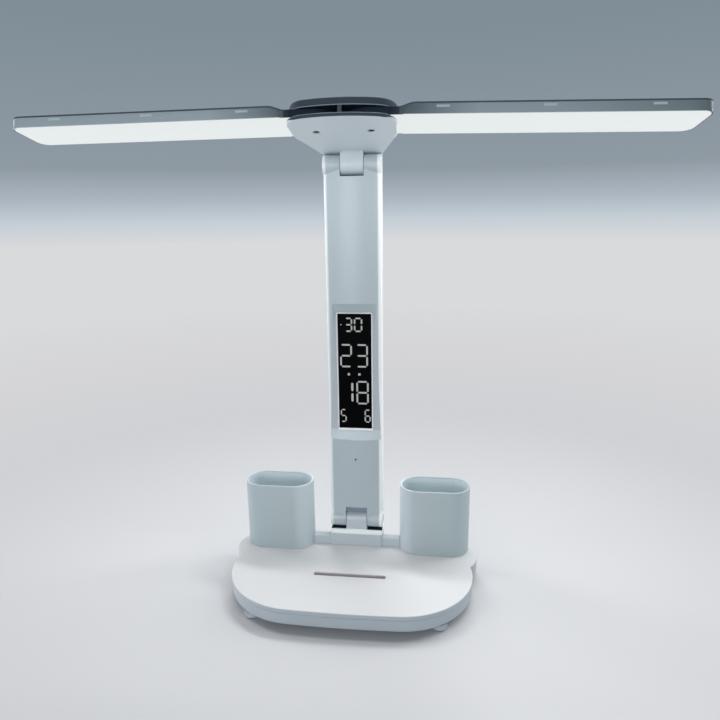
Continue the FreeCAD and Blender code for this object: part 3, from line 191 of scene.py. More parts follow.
def moulded_plastic(name, code, roughness=0.42, grain_mm=0.0, gloss=0.5):
    """Injection-moulded plastic: one even colour, a soft sheen, and a fine spark-eroded grain where
    grain_mm is given, which breaks up the highlights."""
    material = bpy.data.materials.new(name)
    material.use_nodes = True
    tree = material.node_tree
    shader = tree.nodes["Principled BSDF"]
    shader.inputs["Base Color"].default_value = (*linear(code), 1)
    shader.inputs["Roughness"].default_value = roughness
    shader.inputs["IOR"].default_value = PLASTIC_IOR
    shader.inputs["Specular IOR Level"].default_value = gloss
    if grain_mm:
        grain_depth = 0.02 * MILLIMETRE
        place = add_node(tree, "ShaderNodeTexCoord")
        grain = add_node(tree, "ShaderNodeTexNoise",
                         {"Scale": 1 / (grain_mm * MILLIMETRE), "Detail": 2.0},
                         {"Vector": place.outputs["Object"]})
        bump = add_node(tree, "ShaderNodeBump", {"Strength": 0.25, "Distance": grain_depth},
                        {"Height": grain.outputs["Fac"]})
        tree.links.new(bump.outputs["Normal"], shader.inputs["Normal"])
    return material


def lit_plastic(name, code, glow, strength):
    """Plastic that glows evenly, such as an opal cover with light chips behind it."""
    material = moulded_plastic(name, code, 0.5, gloss=0.2)
    shader = material.node_tree.nodes["Principled BSDF"]
    shader.inputs["Emission Color"].default_value = (*linear(glow), 1)
    shader.inputs["Emission Strength"].default_value = strength
    return material


def metal(name, code, roughness):
    """Bare or plated metal with an even finish."""
    material = moulded_plastic(name, code, roughness)
    shader = material.node_tree.nodes["Principled BSDF"]
    shader.inputs["Metallic"].default_value = 1.0
    shader.inputs["IOR"].default_value = METAL_IOR
    return material


def colour_along(material, axis, stops, both_sides=False):
    """Colours a finish by place. The stops are (millimetres along the axis, sRGB code), measured
    from the middle plane to both sides where asked."""
    tree = material.node_tree
    place = add_node(tree, "ShaderNodeTexCoord")
    parts = add_node(tree, "ShaderNodeSeparateXYZ", {}, {"Vector": place.outputs["Object"]})
    along = parts.outputs[axis]
    if both_sides:
        along = add_node(tree, "ShaderNodeMath", {"operation": "ABSOLUTE"}, {0: along}).outputs[0]
    first, last = stops[0][0], stops[-1][0]
    share = add_node(tree, "ShaderNodeMapRange",
                     {"From Min": first * MILLIMETRE, "From Max": last * MILLIMETRE},
                     {"Value": along})
    colours = add_node(tree, "ShaderNodeValToRGB", {}, {"Fac": share.outputs["Result"]},
                       [((at - first) / (last - first), code) for at, code in stops])
    shader = tree.nodes["Principled BSDF"]
    tree.links.new(colours.outputs["Color"], shader.inputs["Base Color"])
    return material


# Satin ABS mouldings in pale cool greys, each a little different: they are partly painted
# light and shade, with upright faces painted darker than the base's top.
# The base's cover is the most neutral one, and its sides are painted shade that darkens from
# left to right.
ABS_BASE_TOP = moulded_plastic("abs_base_top", "#d7d7d8", 0.45)
ABS_BASE_SIDE_PAINTED_SHADE = colour_along(
    moulded_plastic("abs_base_side_painted_shade", "#b5bfc7", 0.45), "X",
    ((-108.0, "#c8d1d7"), (-84.0, "#bfc8cf"), (-40.0, "#afb9c1"), (60.0, "#afb9c1"),
     (108.0, "#adb8be")))
# The cups have a fine grain, and are paler on the sides that face the column, and inside: both are
# painted light
ABS_CUP_PAINTED_LIGHT = colour_along(
    moulded_plastic("abs_cup_painted_light", "#b5c3c7", 0.5, grain_mm=0.5), "X",
    ((-104.0, "#c0cdd3"), (-86.0, "#b6c4c9"), (-56.0, "#b6c4c8"), (-41.0, "#dee9ed"),
     (41.0, "#dfe8ec"), (52.0, "#b9c6cb"), (70.0, "#b2c1c4"), (101.0, "#aebcc2")))
CUP_LINER_PAINTED_LIGHT = moulded_plastic("cup_liner_painted_light", "#d9e5e8", 0.5)
# The hinge block has a painted highlight along its upper edge
ABS_HINGE_PAINTED_HIGHLIGHT = colour_along(
    moulded_plastic("abs_hinge_block_painted_highlight", "#c4cdd3", 0.4), "Z",
    ((31.2, "#c4cdd3"), (32.4, "#f2f8fa"), (35.3, "#f6fafb"), (35.9, "#c4cdd3")))
ABS_CAP = moulded_plastic("abs_hinge_cap", "#c4cdd3", 0.4)
# The column is paler along its rounded long edges, a painted highlight
ABS_COLUMN_PAINTED_HIGHLIGHT = colour_along(
    moulded_plastic("abs_column_painted_highlight", "#b5c1c6", 0.36), "X",
    ((-21.8, "#e5ebed"), (-20.6, "#b5c1c6"), (20.0, "#b5c1c6"), (21.2, "#f6fafa")))
# The clock bay's slopes: a painted highlight below and painted shade, a little darker, towards the top
ABS_BAY_PAINTED_LIGHT = colour_along(
    moulded_plastic("abs_clock_bay_painted_light", "#aab6bd", 0.4), "Z",
    ((129.8, "#c9d4da"), (131.4, "#b7bfc5"), (234.6, "#b0b9bf"), (236.2, "#aebec2")))
ABS_WINDOW_FRAME = moulded_plastic("abs_window_frame", "#f3f5f6", 0.35)
# a plate of painted shade for the back of the lower notch
ABS_NOTCH_PAINTED_SHADE = moulded_plastic("abs_notch_painted_shade", "#8390a0", 0.6, gloss=0.2)
ABS_BUTTON = moulded_plastic("abs_button", "#a4b0ba", 0.4)
# The hub's plate is pale, and paler still where its underside is rounded into its sides, a painted
# highlight
ABS_HUB = moulded_plastic("abs_hub", "#d0dadf", 0.42)
ABS_HUB_RIM_PAINTED_HIGHLIGHT = moulded_plastic("abs_hub_rim_highlight", "#f4fafb", 0.42)
# The hub's cover and front band are dull slate, painted shade on the pale plastic, with a painted
# highlight as a paler line along the cover's lower edge
ABS_HUB_COVER_PAINTED_SHADE = moulded_plastic("abs_hub_cover_painted_shade", "#434f5a", 0.6, gloss=0.2)
ABS_HUB_EDGE_PAINTED_HIGHLIGHT = moulded_plastic("abs_hub_edge_painted_highlight", "#8e9aa3", 0.4)
# The wings' tongues and the wall between the hub's covers lie in the hub's gap and are painted with its
# shade, which lightens where the tongues come out of it
ABS_NECK_PAINTED_SHADE = colour_along(
    moulded_plastic("abs_neck_painted_shade", "#1b242d", 0.5, gloss=0.2), "X",
    ((36.0, "#1f2b38"), (41.0, "#3b4650")), both_sides=True)
# The wing housings are painted shade, darker at the hub and the tips, with a slate line of painted
# shade along the upper edge
ABS_WING_PAINTED_SHADE = colour_along(
    moulded_plastic("abs_wing", "#94a3ab", 0.42), "X",
    ((-251.0, "#3f4a52"), (-249.0, "#a8b6be"), (-95.0, "#a8b6be"), (-60.0, "#86939a"),
     (-36.0, "#465058"), (36.0, "#39444d"), (60.0, "#75828a"), (95.0, "#a3b1b9"),
     (150.0, "#9fadb5"), (235.0, "#7f8c92"), (248.0, "#6b777e"), (250.5, "#353f46")))
ABS_WING_EDGE = moulded_plastic("abs_wing_edge", "#525d66", 0.65, gloss=0.15)
# Opal polycarbonate with the light chips on behind it, and its hooks, which hardly glow
OPAL_LIT = lit_plastic("opal_polycarbonate_lit", "#6f7171", "#f4f9f9", 0.73)
OPAL_HOOK = lit_plastic("opal_snap_hook", "#c0cbd0", "#c3c9cd", 0.03)
# Smoked acrylic window, dark where none of its segments is on
SMOKED_ACRYLIC = moulded_plastic("smoked_acrylic", "#030405", 0.25, gloss=0.03)
SEGMENT_LIT = lit_plastic("segment_lit", "#3a3b3b", "#d9dada", 0.5)
DISPLAY_BLACK = moulded_plastic("display_black", "#0c0c0e", 0.5)
TOUCH_PIPE = moulded_plastic("touch_light_pipe", "#3c444c", 0.2)
# Dull soft pieces: the foot pads, and the strip that lines the phone slot, a little mauve
RUBBER_PAD = moulded_plastic("rubber_pad", "#3a3c3f", 0.8)
SOFT_LINING = moulded_plastic("soft_lining", "#cfc8ce", 0.85, gloss=0.2)
# Hidden pieces in the plain colours of their materials
NYLON = moulded_plastic("nylon_washer", "#d9d8d0", 0.5)
GLASS_FIBRE_BOARD = moulded_plastic("glass_fibre_board", "#1e5a34", 0.5)
BLACK_PLASTIC = moulded_plastic("black_plastic", "#1a1b1c", 0.55)
WHITE_BOARD = moulded_plastic("white_coated_board", "#e6e6e4", 0.5)
PHOSPHOR = moulded_plastic("yellow_phosphor", "#efd98a", 0.4)
POUCH = moulded_plastic("battery_pouch", "#9aa1a8", 0.3)
# Metals: satin zinc plate, dull blackened heads, bright ground pins, dark mill plate, warm foil
ZINC_STEEL = metal("zinc_plated_steel", "#8f9296", 0.35)
BLACK_SCREW = metal("blackened_steel", "#23262a", 0.5)
GROUND_STEEL = metal("ground_steel", "#a9abae", 0.25)
ROLLED_STEEL = metal("rolled_steel", "#5c5d60", 0.5)
COPPER_FOIL = metal("copper_foil", "#b87852", 0.35)

# The finish of each CAD solid, with those that a new piece stands for
CAD_FINISHES = (
    (ABS_BASE_TOP, "base_top_cover"),
    (ABS_BASE_SIDE_PAINTED_SHADE, "base_bottom_cover"),
    (ABS_CUP_PAINTED_LIGHT, "left_pen_cup", "right_pen_cup"),
    (ABS_HINGE_PAINTED_HIGHLIGHT, "hinge_block"),
    (ABS_CAP, "lower_hinge_caps", "upper_hinge_caps"),
    (ABS_COLUMN_PAINTED_HIGHLIGHT, "column_front_cover", "column_rear_cover"),
    (ABS_BUTTON, "mode_button", "up_button", "down_button"),
    (ABS_HUB, "hub_lower_cover"),
    (ABS_HUB_COVER_PAINTED_SHADE, "hub_top_cover"),
    (ABS_WING_PAINTED_SHADE, "left_wing_housing", "right_wing_housing"),
    (OPAL_LIT, "left_diffuser", "right_diffuser"),
    (SMOKED_ACRYLIC, "clock_lens"),
    (DISPLAY_BLACK, "digit_display"),
    (TOUCH_PIPE, "touch_light"),
    (RUBBER_PAD, "foot_pads"),
    (NYLON, "lower_hinge_washers", "upper_hinge_washers", "pivot_bushes", "friction_discs"),
    (GLASS_FIBRE_BOARD, "main_board", "clock_board"),
    (BLACK_PLASTIC, "button_switches", "column_loom"),
    (WHITE_BOARD, "left_led_board", "right_led_board"),
    (PHOSPHOR, "left_led_chips", "right_led_chips"),
    (POUCH, "battery_pack"),
    (ZINC_STEEL, "base_screws", "cup_screws", "block_screws", "column_screws"),
    (BLACK_SCREW, "pivot_screws"),
    (GROUND_STEEL, "usb_socket", "lower_hinge_pin", "upper_hinge_pin"),
    (ROLLED_STEEL, "ballast_plate"),
    (COPPER_FOIL, "touch_plate"),
)
for finish, *node_names in CAD_FINISHES:
    for node_name in node_names:
        cad_mesh = frame["nodes"][node_name].data
        cad_mesh.materials.clear()
        cad_mesh.materials.append(finish)


# Places of the head and the wings

def place_head(points):
    """Head frame to lamp frame: a turn about X that lifts the front, then a move to the upper axis."""
    x, y, z = np.moveaxis(np.asarray(points, float), -1, 0)
    lean_sin, lean_cos = math.sin(HEAD_LEAN), math.cos(HEAD_LEAN)
    return np.stack([x, HINGE_Y + y * lean_cos + z * lean_sin,
                     UPPER_AXIS - y * lean_sin + z * lean_cos], -1)


def place_wing(side):
    """Wing frame to lamp frame: X runs from the pivot to the tip, swept back, then the head's place."""
    angle = WING_SWEEP[side] if side > 0 else math.pi - WING_SWEEP[side]

    def placed(points):
        x, y, z = np.moveaxis(np.asarray(points, float), -1, 0)
        turned = np.stack([x * math.cos(angle) - y * math.sin(angle) + side * PIVOT_X,
                           x * math.sin(angle) + y * math.cos(angle) + PIVOT_Y, z], -1)
        return place_head(turned)
    return placed


# Meshes

def finish_mesh(name, points, faces, material, body, sharp_degrees=SHARP_DEGREES):
    """Makes the object, shades it smooth but for sharp folds, and lets it ride on its body."""
    mesh = bpy.data.meshes.new(name)
    mesh.from_pydata(np.asarray(points).tolist(), [], faces)
    mesh.materials.append(material)
    mesh.polygons.foreach_set("use_smooth", np.ones(len(mesh.polygons), bool))
    mesh.set_sharp_from_angle(angle=math.radians(sharp_degrees))
    mesh.update()
    piece = bpy.data.objects.new(name, mesh)
    bpy.context.scene.collection.objects.link(piece)
    if body:
        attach(piece, body)
    return piece


def closed_mesh(name, grid, material, body, place=None, capped=True):
    """A solid from a grid of points (rows, columns, 3) whose columns close on themselves.

    Neighbouring rows are joined by quads. The first and last rows are closed by fans to their mean
    point, unless the last row comes back to the first. Faces are turned so that the signed volume,
    one sixth of the sum of triple products, is positive.
    """
    grid = np.asarray(grid, float)
    if place is not None:
        grid = place(grid)
    rows, columns = grid.shape[:2]
    index = np.arange(rows * columns).reshape(rows, columns)
    ahead = np.roll(index, -1, axis=1)
    quads = np.stack([index[:-1], ahead[:-1], ahead[1:], index[1:]], -1).reshape(-1, 4)
    points, fans = [grid.reshape(-1, 3)], []
    if capped:
        points.append(grid[[0, -1]].mean(axis=1))
        first, last = np.full(columns, rows * columns), np.full(columns, rows * columns + 1)
        fans = [np.stack([ahead[0], index[0], first], -1),
                np.stack([index[-1], ahead[-1], last], -1)]
    points = np.concatenate(points) * MILLIMETRE
    triangles = np.concatenate([quads[:, [0, 1, 2]], quads[:, [0, 2, 3]], *fans])
    a, b, c = points[triangles[:, 0]], points[triangles[:, 1]], points[triangles[:, 2]]
    faces = [quads, *fans]
    if np.einsum("ij,ij->i", a, np.cross(b, c)).sum() < 0:
        faces = [face[:, ::-1] for face in faces]
    return finish_mesh(name, points, [f for face in faces for f in face.tolist()], material, body)


def cut_out(piece, cutter):
    """Subtracts the cutter's solid from the piece and drops the cutter."""
    modifier = piece.modifiers.new("cut", "BOOLEAN")
    modifier.operation = "DIFFERENCE"
    modifier.solver = "EXACT"
    modifier.object = cutter
    bpy.context.view_layer.update()
    evaluated = piece.evaluated_get(bpy.context.evaluated_depsgraph_get())
    carved = bpy.data.meshes.new_from_object(evaluated)
    piece.modifiers.remove(modifier)
    piece.data = carved
    bpy.data.objects.remove(cutter)


def join_pieces(name, *parts, sharp_degrees=SHARP_DEGREES):
    """Puts several meshes that ride on one body into one object, their points and faces in turn."""
    points, faces, start = [], [], 0
    for part in parts:
        mesh = part.data
        places = np.empty(len(mesh.vertices) * 3)
        mesh.vertices.foreach_get("co", places)
        points.append(places.reshape(-1, 3))
        corners = np.empty(len(mesh.loops), int)
        mesh.loops.foreach_get("vertex_index", corners)
        face_starts = np.empty(len(mesh.polygons), int)
        mesh.polygons.foreach_get("loop_start", face_starts)
        faces += [face.tolist() for face in np.split(corners + start, face_starts[1:])]
        start += len(mesh.vertices)
    material, body = parts[0].data.materials[0], body_of(parts[0])[0]
    for part in parts:
        bpy.data.objects.remove(part)
    return finish_mesh(name, np.concatenate(points), faces, material, body, sharp_degrees)


# Outlines: arrays of (x, y), run round once, always with the same number of points

def arc(x, y, radius, start, end, count):
    """Points on a circle: centre plus radius times (cos, sin) of evenly spaced angles."""
    angle = np.linspace(start, end, count)
    return np.stack([x + radius * np.cos(angle), y + radius * np.sin(angle)], -1)


def circle(x, y, radius, count=48):
    """A whole circle, with its first point not repeated."""
    return arc(x, y, radius, 0, TURN * (1 - 1 / count), count)


def mirrored(half):
    """The right half of an outline, front to rear, and its mirror image back again."""
    return np.concatenate([half, half[::-1] * (-1, 1)])


def rectangle(half_length, half_width, x=0.0, y=0.0):
    """The four corners of a rectangle."""
    return np.array([(-1, -1), (1, -1), (1, 1), (-1, 1)]) * (half_length, half_width) + (x, y)


def rounded_rectangle(half_length, half_width, radius, inset=0.0, x=0.0, y=0.0):
    """Four quarter arcs joined by straight sides."""
    a, b, r = half_length - inset, half_width - inset, max(radius - inset, 0.05)
    corners = ((1, -1, -QUARTER), (1, 1, 0), (-1, 1, QUARTER), (-1, -1, 2 * QUARTER))
    return np.concatenate([arc(x + sx * (a - r), y + sy * (b - r), r, start, start + QUARTER, 9)
                           for sx, sy, start in corners])


def stadium(half_length, half_width, inset=0.0, x=0.0, y=0.0):
    """Two half circles joined by straight sides."""
    radius, reach = half_width - inset, half_length - half_width
    return np.concatenate([arc(x + reach, y, radius, -QUARTER, QUARTER, 33),
                           arc(x - reach, y, radius, QUARTER, 3 * QUARTER, 33)])


def straight_sides(corners, count=12):
    """Points along the sides between corners: each corner plus even shares of the way to the next."""
    corners = np.asarray(corners, float)
    share = np.linspace(0, 1, count, endpoint=False)[:, None]
    ways = np.roll(corners, -1, axis=0) - corners
    return (corners[:, None] + ways[:, None] * share).reshape(-1, 2)


def base_outline(inset):
    """Base plan: a shallow front arc, corner arcs to the waist, cup lobes and a shallow rear arc.

    The corner arc touches the front arc from inside, the rear arc touches the lobes, and the waist
    is where corner and lobe circles cross. An inset takes its size off every radius.
    """
    half, front_arc, corner_arc = 103.0, 840.0, 61.0
    lobe, lobe_x, lobe_y = 28.5, 80.0, 30.0
    lean = math.asin((half - corner_arc) / (front_arc - corner_arc))
    corner_x = half - corner_arc
    corner_y = BASE_FRONT + front_arc - (front_arc - corner_arc) * math.cos(lean)
    back = BASE_REAR - lobe_y
    rear_arc = (lobe_x ** 2 + back ** 2 - lobe ** 2) / (2 * (back - lobe))
    turn = math.asin(lobe_x / (rear_arc - lobe))
    first, second = corner_arc - inset, lobe - inset
    step = np.array([lobe_x - corner_x, lobe_y - corner_y])
    span = np.hypot(*step)
    along = (first ** 2 - second ** 2 + span ** 2) / (2 * span)
    aside = math.sqrt(first ** 2 - along ** 2)
    waist = np.array([corner_x, corner_y]) + (along * step + aside * step[::-1] * (1, -1)) / span
    corner_end = math.atan2(waist[1] - corner_y, waist[0] - corner_x)
    lobe_start = math.atan2(waist[1] - lobe_y, waist[0] - lobe_x)
    return mirrored(np.concatenate([
        arc(0, BASE_FRONT + front_arc, front_arc - inset, 0.001 - QUARTER, lean - QUARTER, 24),
        arc(corner_x, corner_y, first, lean - QUARTER, corner_end, 56)[1:],
        arc(lobe_x, lobe_y, second, lobe_start, QUARTER - turn, 40),
        arc(0, BASE_REAR - rear_arc, rear_arc - inset, QUARTER - turn, QUARTER - 0.001, 16)[1:],
    ]))


def hub_outline(inset, setback=0.0):
    """Hub plan: an arched front, corner arcs, sides that bend in and run straight to the neck."""
    half, front_arc, corner_arc = 39.3, 130.0, 16.0
    side_start, side_arc, lean = -52.0, 50.0, math.radians(19)
    rear, bend = 8.0, 2.5
    neck = COLUMN_HALF - inset
    centre_y = front_arc - (HUB_REACH - setback)
    turn = math.asin((half - corner_arc) / (front_arc - corner_arc))
    corner_y = centre_y - (front_arc - corner_arc) * math.cos(turn)
    bend_x = half - side_arc + (side_arc - inset) * math.cos(lean)
    bend_y = side_start + (side_arc - inset) * math.sin(lean)
    neck_y = bend_y + (bend_x - neck) / math.tan(lean)
    return mirrored(np.concatenate([
        arc(0, centre_y, front_arc - inset, 0.001 - QUARTER, turn - QUARTER, 16),
        arc(half - corner_arc, corner_y, corner_arc - inset, turn - QUARTER, 0, 20)[1:],
        arc(half - side_arc, side_start, side_arc - inset, 0, lean, 14),
        [(neck, neck_y), (neck, (neck_y + rear - inset - bend) / 2)],
        arc(neck - bend, rear - inset - bend, bend, 0, QUARTER, 8),
    ]))


def face_depth(x):
    """Depth of the column's arched face: centre minus the root of arch squared less x squared."""
    return COLUMN_FACE + COLUMN_ARCH - np.sqrt(COLUMN_ARCH ** 2 - x ** 2)


def column_outline(inset, back=COLUMN_SPLIT, back_bend=0.2):
    """Column plan: an arched front, rounded where it meets the straight sides, and a flat rear.

    The front bend's centre lies at arch minus bend from the arch's centre and at half minus bend
    in x.
    """
    front_bend = 3.0
    half, rear = COLUMN_HALF - inset, back - inset
    centre_y = COLUMN_FACE + COLUMN_ARCH
    bend_x = half - front_bend
    bend_y = centre_y - math.sqrt((COLUMN_ARCH - inset - front_bend) ** 2 - bend_x ** 2)
    touch = math.atan2(bend_y - centre_y, bend_x)
    return mirrored(np.concatenate([
        arc(0, centre_y, COLUMN_ARCH - inset, 0.002 - QUARTER, touch, 22),
        arc(bend_x, bend_y, front_bend, touch, 0, 8)[1:],
        arc(half - back_bend, rear - back_bend, back_bend, 0, QUARTER, 6),
    ]))


def column_end_outline(inset):
    """Column plan at full depth, with rounded rear edges too."""
    return column_outline(inset, COLUMN_BACK, back_bend=3.0)


# Rings and rows: outlines put in place, and stacks of them

def at_height(outline, height):
    """A level ring: the outline's points at one height, or each at its own."""
    return np.column_stack([outline, np.broadcast_to(height, len(outline))])


def at_depth(outline, depth):
    """An upright ring: the outline's points (x, z) at one depth, or each at its own."""
    return np.column_stack([outline[:, 0], np.broadcast_to(depth, len(outline)), outline[:, 1]])


def rounding(inset_from, height_from, inset_to, height_to, steps=6, wall_first=True):
    """Rows of a quarter ellipse between two (inset, height) pairs, upright at the wall's end."""
    t = np.linspace(0, QUARTER, steps)
    early, late = 1 - np.cos(t), np.sin(t)
    sides, heights = (early, late) if wall_first else (late, early)
    return list(zip(inset_from + (inset_to - inset_from) * sides,
                    height_from + (height_to - height_from) * heights))


def stack(outline, rows):
    """Rows of points: the outline moved in by each row's inset, at that row's height."""
    return np.stack([at_height(outline(inset), height) for inset, height in rows])


def cylinder_rows(radius, start, end, bend):
    """A cylinder along X with rounded rims, as rows of circles in the YZ plane."""
    rim = rounding(radius - bend, 0.0, radius, bend, 5, wall_first=False)
    rows = [(r, start + x) for r, x in rim] + [(r, end - x) for r, x in rim[::-1]]
    return np.stack([at_height(circle(0, 0, r), x)[:, [2, 0, 1]] for r, x in rows])


def level_box(half, front, rear, low, high):
    """A box about the middle plane, as two rings."""
    ring = rectangle(half, (rear - front) / 2, 0.0, (front + rear) / 2)
    return np.stack([at_height(ring, low), at_height(ring, high)])


def through_cutter(outline, front, rear):
    """A cutter with an upright outline, from one depth to another."""
    return closed_mesh("cutter", np.stack([at_depth(outline, front), at_depth(outline, rear)]),
                       ABS_COLUMN_PAINTED_HIGHLIGHT, None)


def eased(value):
    """A smooth step: three times the square less twice the cube of the value, kept in 0 to 1."""
    value = np.clip(value, 0, 1)
    return value ** 2 * (3 - 2 * value)


# Base

def base_top_side():
    """A side band with a softened lower edge, carried round the outline and back inside."""
    low, high, deep = RIM_BASE + 0.1, BASE_TOP - 0.6, 3.2
    rows = [(deep, low), (0.6, low), *rounding(0.5, low, 0.0, low + 0.5, 5, wall_first=False),
            (0.0, high - 0.1), (0.05, high), (deep, high), (deep, low)]
    band = closed_mesh("base_top_side", stack(base_outline, rows), ABS_BASE_SIDE_PAINTED_SHADE, "base",
                       capped=False)
    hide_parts("base_top_cover")


def ray_ring(outline, centre, half_length, half_width):
    """For each outline point, where the ray to the centre meets a rectangle about that centre: the
    way out over the larger of its two shares of the rectangle's half sizes."""
    away = outline - centre
    scale = 1 / np.maximum(np.abs(away[:, 0]) / half_length, np.abs(away[:, 1]) / half_width)
    return centre + away * scale[:, None]


def base_top():
    """Cover: an upright edge rounded into a flat top that runs along rays to the slot and into it."""
    rows = [(6.0, 12.4), (3.3, 12.6), (3.3, BASE_TOP - 0.65), (0.06, BASE_TOP - 0.6),
            *rounding(0.06, BASE_TOP - 0.55, 0.6, BASE_TOP)]
    rings = [*stack(base_outline, rows)]
    plan, centre = base_outline(0.6), np.array([0.0, SLOT_Y])
    # share of the way to the slot, how far its mouth is widened, and depth below the top
    for share, grow, depth in ((0.35, 0.0, 0.0), (0.7, 0.0, 0.0), (1.0, 0.5, 0.0),
                               (1.0, 0.15, 0.15), (1.0, 0.0, 0.5), (1.0, 0.0, 6.5)):
        mouth = ray_ring(plan, centre, SLOT_HALF_LENGTH + grow, SLOT_HALF_WIDTH + grow)
        rings.append(at_height(plan + (mouth - plan) * share, BASE_TOP - depth))
    piece = closed_mesh("base_top", np.stack(rings), ABS_BASE_TOP, "base")
    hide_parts("base_top_cover")


def slot_lining():
    """A strip up the phone slot's walls and over its floor, a hair inside the slot."""
    rows = [(0.02, BASE_TOP - 6.45), (0.02, BASE_TOP - 0.6), (0.3, BASE_TOP - 0.6),
            (0.3, BASE_TOP - 6.1)]
    grid = stack(lambda inset: rounded_rectangle(SLOT_HALF_LENGTH, SLOT_HALF_WIDTH, 0.3, inset,
                                                 0.0, SLOT_Y), rows)
    lining = closed_mesh("slot_lining", grid, SOFT_LINING, "base")


def base_tray():
    """Tray with a softened lower edge, four foot bosses and the charging port through its rear."""
    rows = [(5.0, TRAY_BASE), *rounding(2.6, TRAY_BASE, 0.5, TRAY_BASE + 2.2, 7, wall_first=False),
            (0.5, TRAY_TOP - 0.6), *rounding(0.5, TRAY_TOP - 0.5, 1.0, TRAY_TOP, 4),
            (2.7, TRAY_TOP), (2.7, 7.4)]
    tray = closed_mesh("tray", stack(base_outline, rows), ABS_BASE_SIDE_PAINTED_SHADE, "base")
    port = rounded_rectangle(4.8, 1.9, 1.7, x=SOCKET_X, y=SOCKET_Z)
    cut_out(tray, through_cutter(port, SOCKET_Y - 3.0, SOCKET_Y + 8.0))
    boss_rows = [*rounding(FOOT_RADIUS - 0.8, 0.8, FOOT_RADIUS, 1.6, 5, wall_first=False),
                 (FOOT_RADIUS, TRAY_BASE - 0.2), (FOOT_RADIUS + 0.6, TRAY_BASE + 0.4)]
    parts = [tray]
    for x, y in FOOT_PLACES:
        boss = np.stack([at_height(circle(x, y, radius), height) for radius, height in boss_rows])
        parts.append(closed_mesh("boss", boss, ABS_BASE_SIDE_PAINTED_SHADE, "base"))
    piece = join_pieces("base_tray", *parts)
    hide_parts("base_bottom_cover")


def pen_cup(side):
    """Oval cup: wall up, over a rounded rim, down inside to a rounded floor corner, and a paler liner
    of painted light.
    """
    def outline(inset):
        return stadium(CUP_HALF_LENGTH, CUP_HALF_WIDTH, inset, side * CUP_X, CUP_Y)

    name = SIDE_NAMES[side] + "_pen_cup"
    wall, rim = 1.8, CUP_TOP - 0.9
    rows = [*rounding(0.35, BASE_TOP, 0.0, BASE_TOP + 0.35, 3, wall_first=False),
            *rounding(0.0, rim, wall / 2, CUP_TOP),
            *rounding(wall / 2, CUP_TOP, wall, rim, wall_first=False)[1:],
            *rounding(wall, BASE_TOP + 5.0, wall + 2.4, BASE_TOP + 2.6, 5)]
    piece = closed_mesh(name + "_moulding", stack(outline, rows), ABS_CUP_PAINTED_LIGHT, "base")
    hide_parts(name)
    # the liner is a paler skin inside the wall: painted light
    low, high = BASE_TOP + 5.5, CUP_TOP - 1.0
    rows = [(wall + 0.05, high), (wall + 0.05, low), (wall - 0.1, low), (wall - 0.1, high),
            (wall + 0.05, high)]
    liner = closed_mesh(name + "_painted_light_liner", stack(outline, rows), CUP_LINER_PAINTED_LIGHT, "base",
                        capped=False)


def ridge_rings(side):
    """The low ridge beside the block: its outer end follows the cup's round end with a small gap.

    The end lies at the cup end's centre less the root of (radius plus gap) squared less the
    squared distance across.
    """
    middle, half, inner_end, gap = 40.75, 3.25, 20.0, 0.3
    share = np.linspace(-1, 1, 14)
    rings = []
    for inset, height in [(0.0, BASE_TOP), (0.0, RIDGE_TOP - 1.0),
                          *rounding(0.0, RIDGE_TOP - 0.9, 0.9, RIDGE_TOP, 5)]:
        y = middle + share * (half - inset)
        across = np.sqrt((CUP_HALF_WIDTH + gap) ** 2 - (y - CUP_Y) ** 2)
        outer = np.column_stack([CUP_X - (CUP_HALF_LENGTH - CUP_HALF_WIDTH) - across, y])
        inner = np.column_stack([np.full(len(y), inner_end), y[::-1]])
        rings.append(at_height(np.concatenate([outer, inner]) * (side, 1), height))
    return np.stack(rings)


def hinge_block():
    """Block between the cups with a low ridge, and the knuckle that the column's ears clasp."""
    front, depth = COLUMN_FACE - 2.4, 21.4
    rows = [(0.3, BASE_TOP), (0.0, BASE_TOP + 0.3), (0.0, BLOCK_TOP - 3.2),
            *rounding(0.0, BLOCK_TOP - 3.1, 2.4, BLOCK_TOP, 9)]
    block = stack(lambda inset: rounded_rectangle(24.0, depth / 2, 2.4, inset, 0.0,
                                                  front + depth / 2), rows)
    knuckle = cylinder_rows(HINGE_RADIUS, -KNUCKLE_HALF, KNUCKLE_HALF, 0.5)
    web = stack(lambda inset: rounded_rectangle(KNUCKLE_HALF, HINGE_RADIUS, 0.5, inset,
                                                0.0, HINGE_Y),
                [(0.0, BLOCK_TOP - 2.0), (0.0, LOWER_AXIS)])
    grids = [block, ridge_rings(-1), ridge_rings(1), knuckle + (0, HINGE_Y, LOWER_AXIS), web]
    piece = join_pieces("hinge_block_moulding",
                        *(closed_mesh("part", grid, ABS_HINGE_PAINTED_HIGHLIGHT, "base") for grid in grids))
    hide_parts("hinge_block", "lower_hinge_pin")


def ear_gap_shades():
    """Painted shade for the dark gaps below the lower ears, as thin plates on the block."""
    for side, side_name in SIDE_NAMES.items():
        gap_shade = stack(lambda inset: rounded_rectangle(6.7, 5.2, 0.3, inset, side * 16.6, 43.8),
                     [(0.0, BLOCK_TOP - 0.3), (0.0, BLOCK_TOP + 0.1)])
        gap_shade = closed_mesh(side_name + "_ear_gap_shade", gap_shade, ABS_NECK_PAINTED_SHADE, "base")


# Column

def bay_outlines():
    """The bay's mouth on the column's face and its border on the floor, with matching points."""
    mouth = [(-BAY_LOW_HALF, BAY_LOW), (BAY_LOW_HALF, BAY_LOW),
             (BAY_HIGH_HALF, BAY_HIGH), (-BAY_HIGH_HALF, BAY_HIGH)]
    border = rectangle(WINDOW_HALF + BAY_BORDER, WINDOW_HALF_HEIGHT + BAY_BORDER,
                       0.0, WINDOW_MIDDLE)
    return straight_sides(mouth), straight_sides(border)


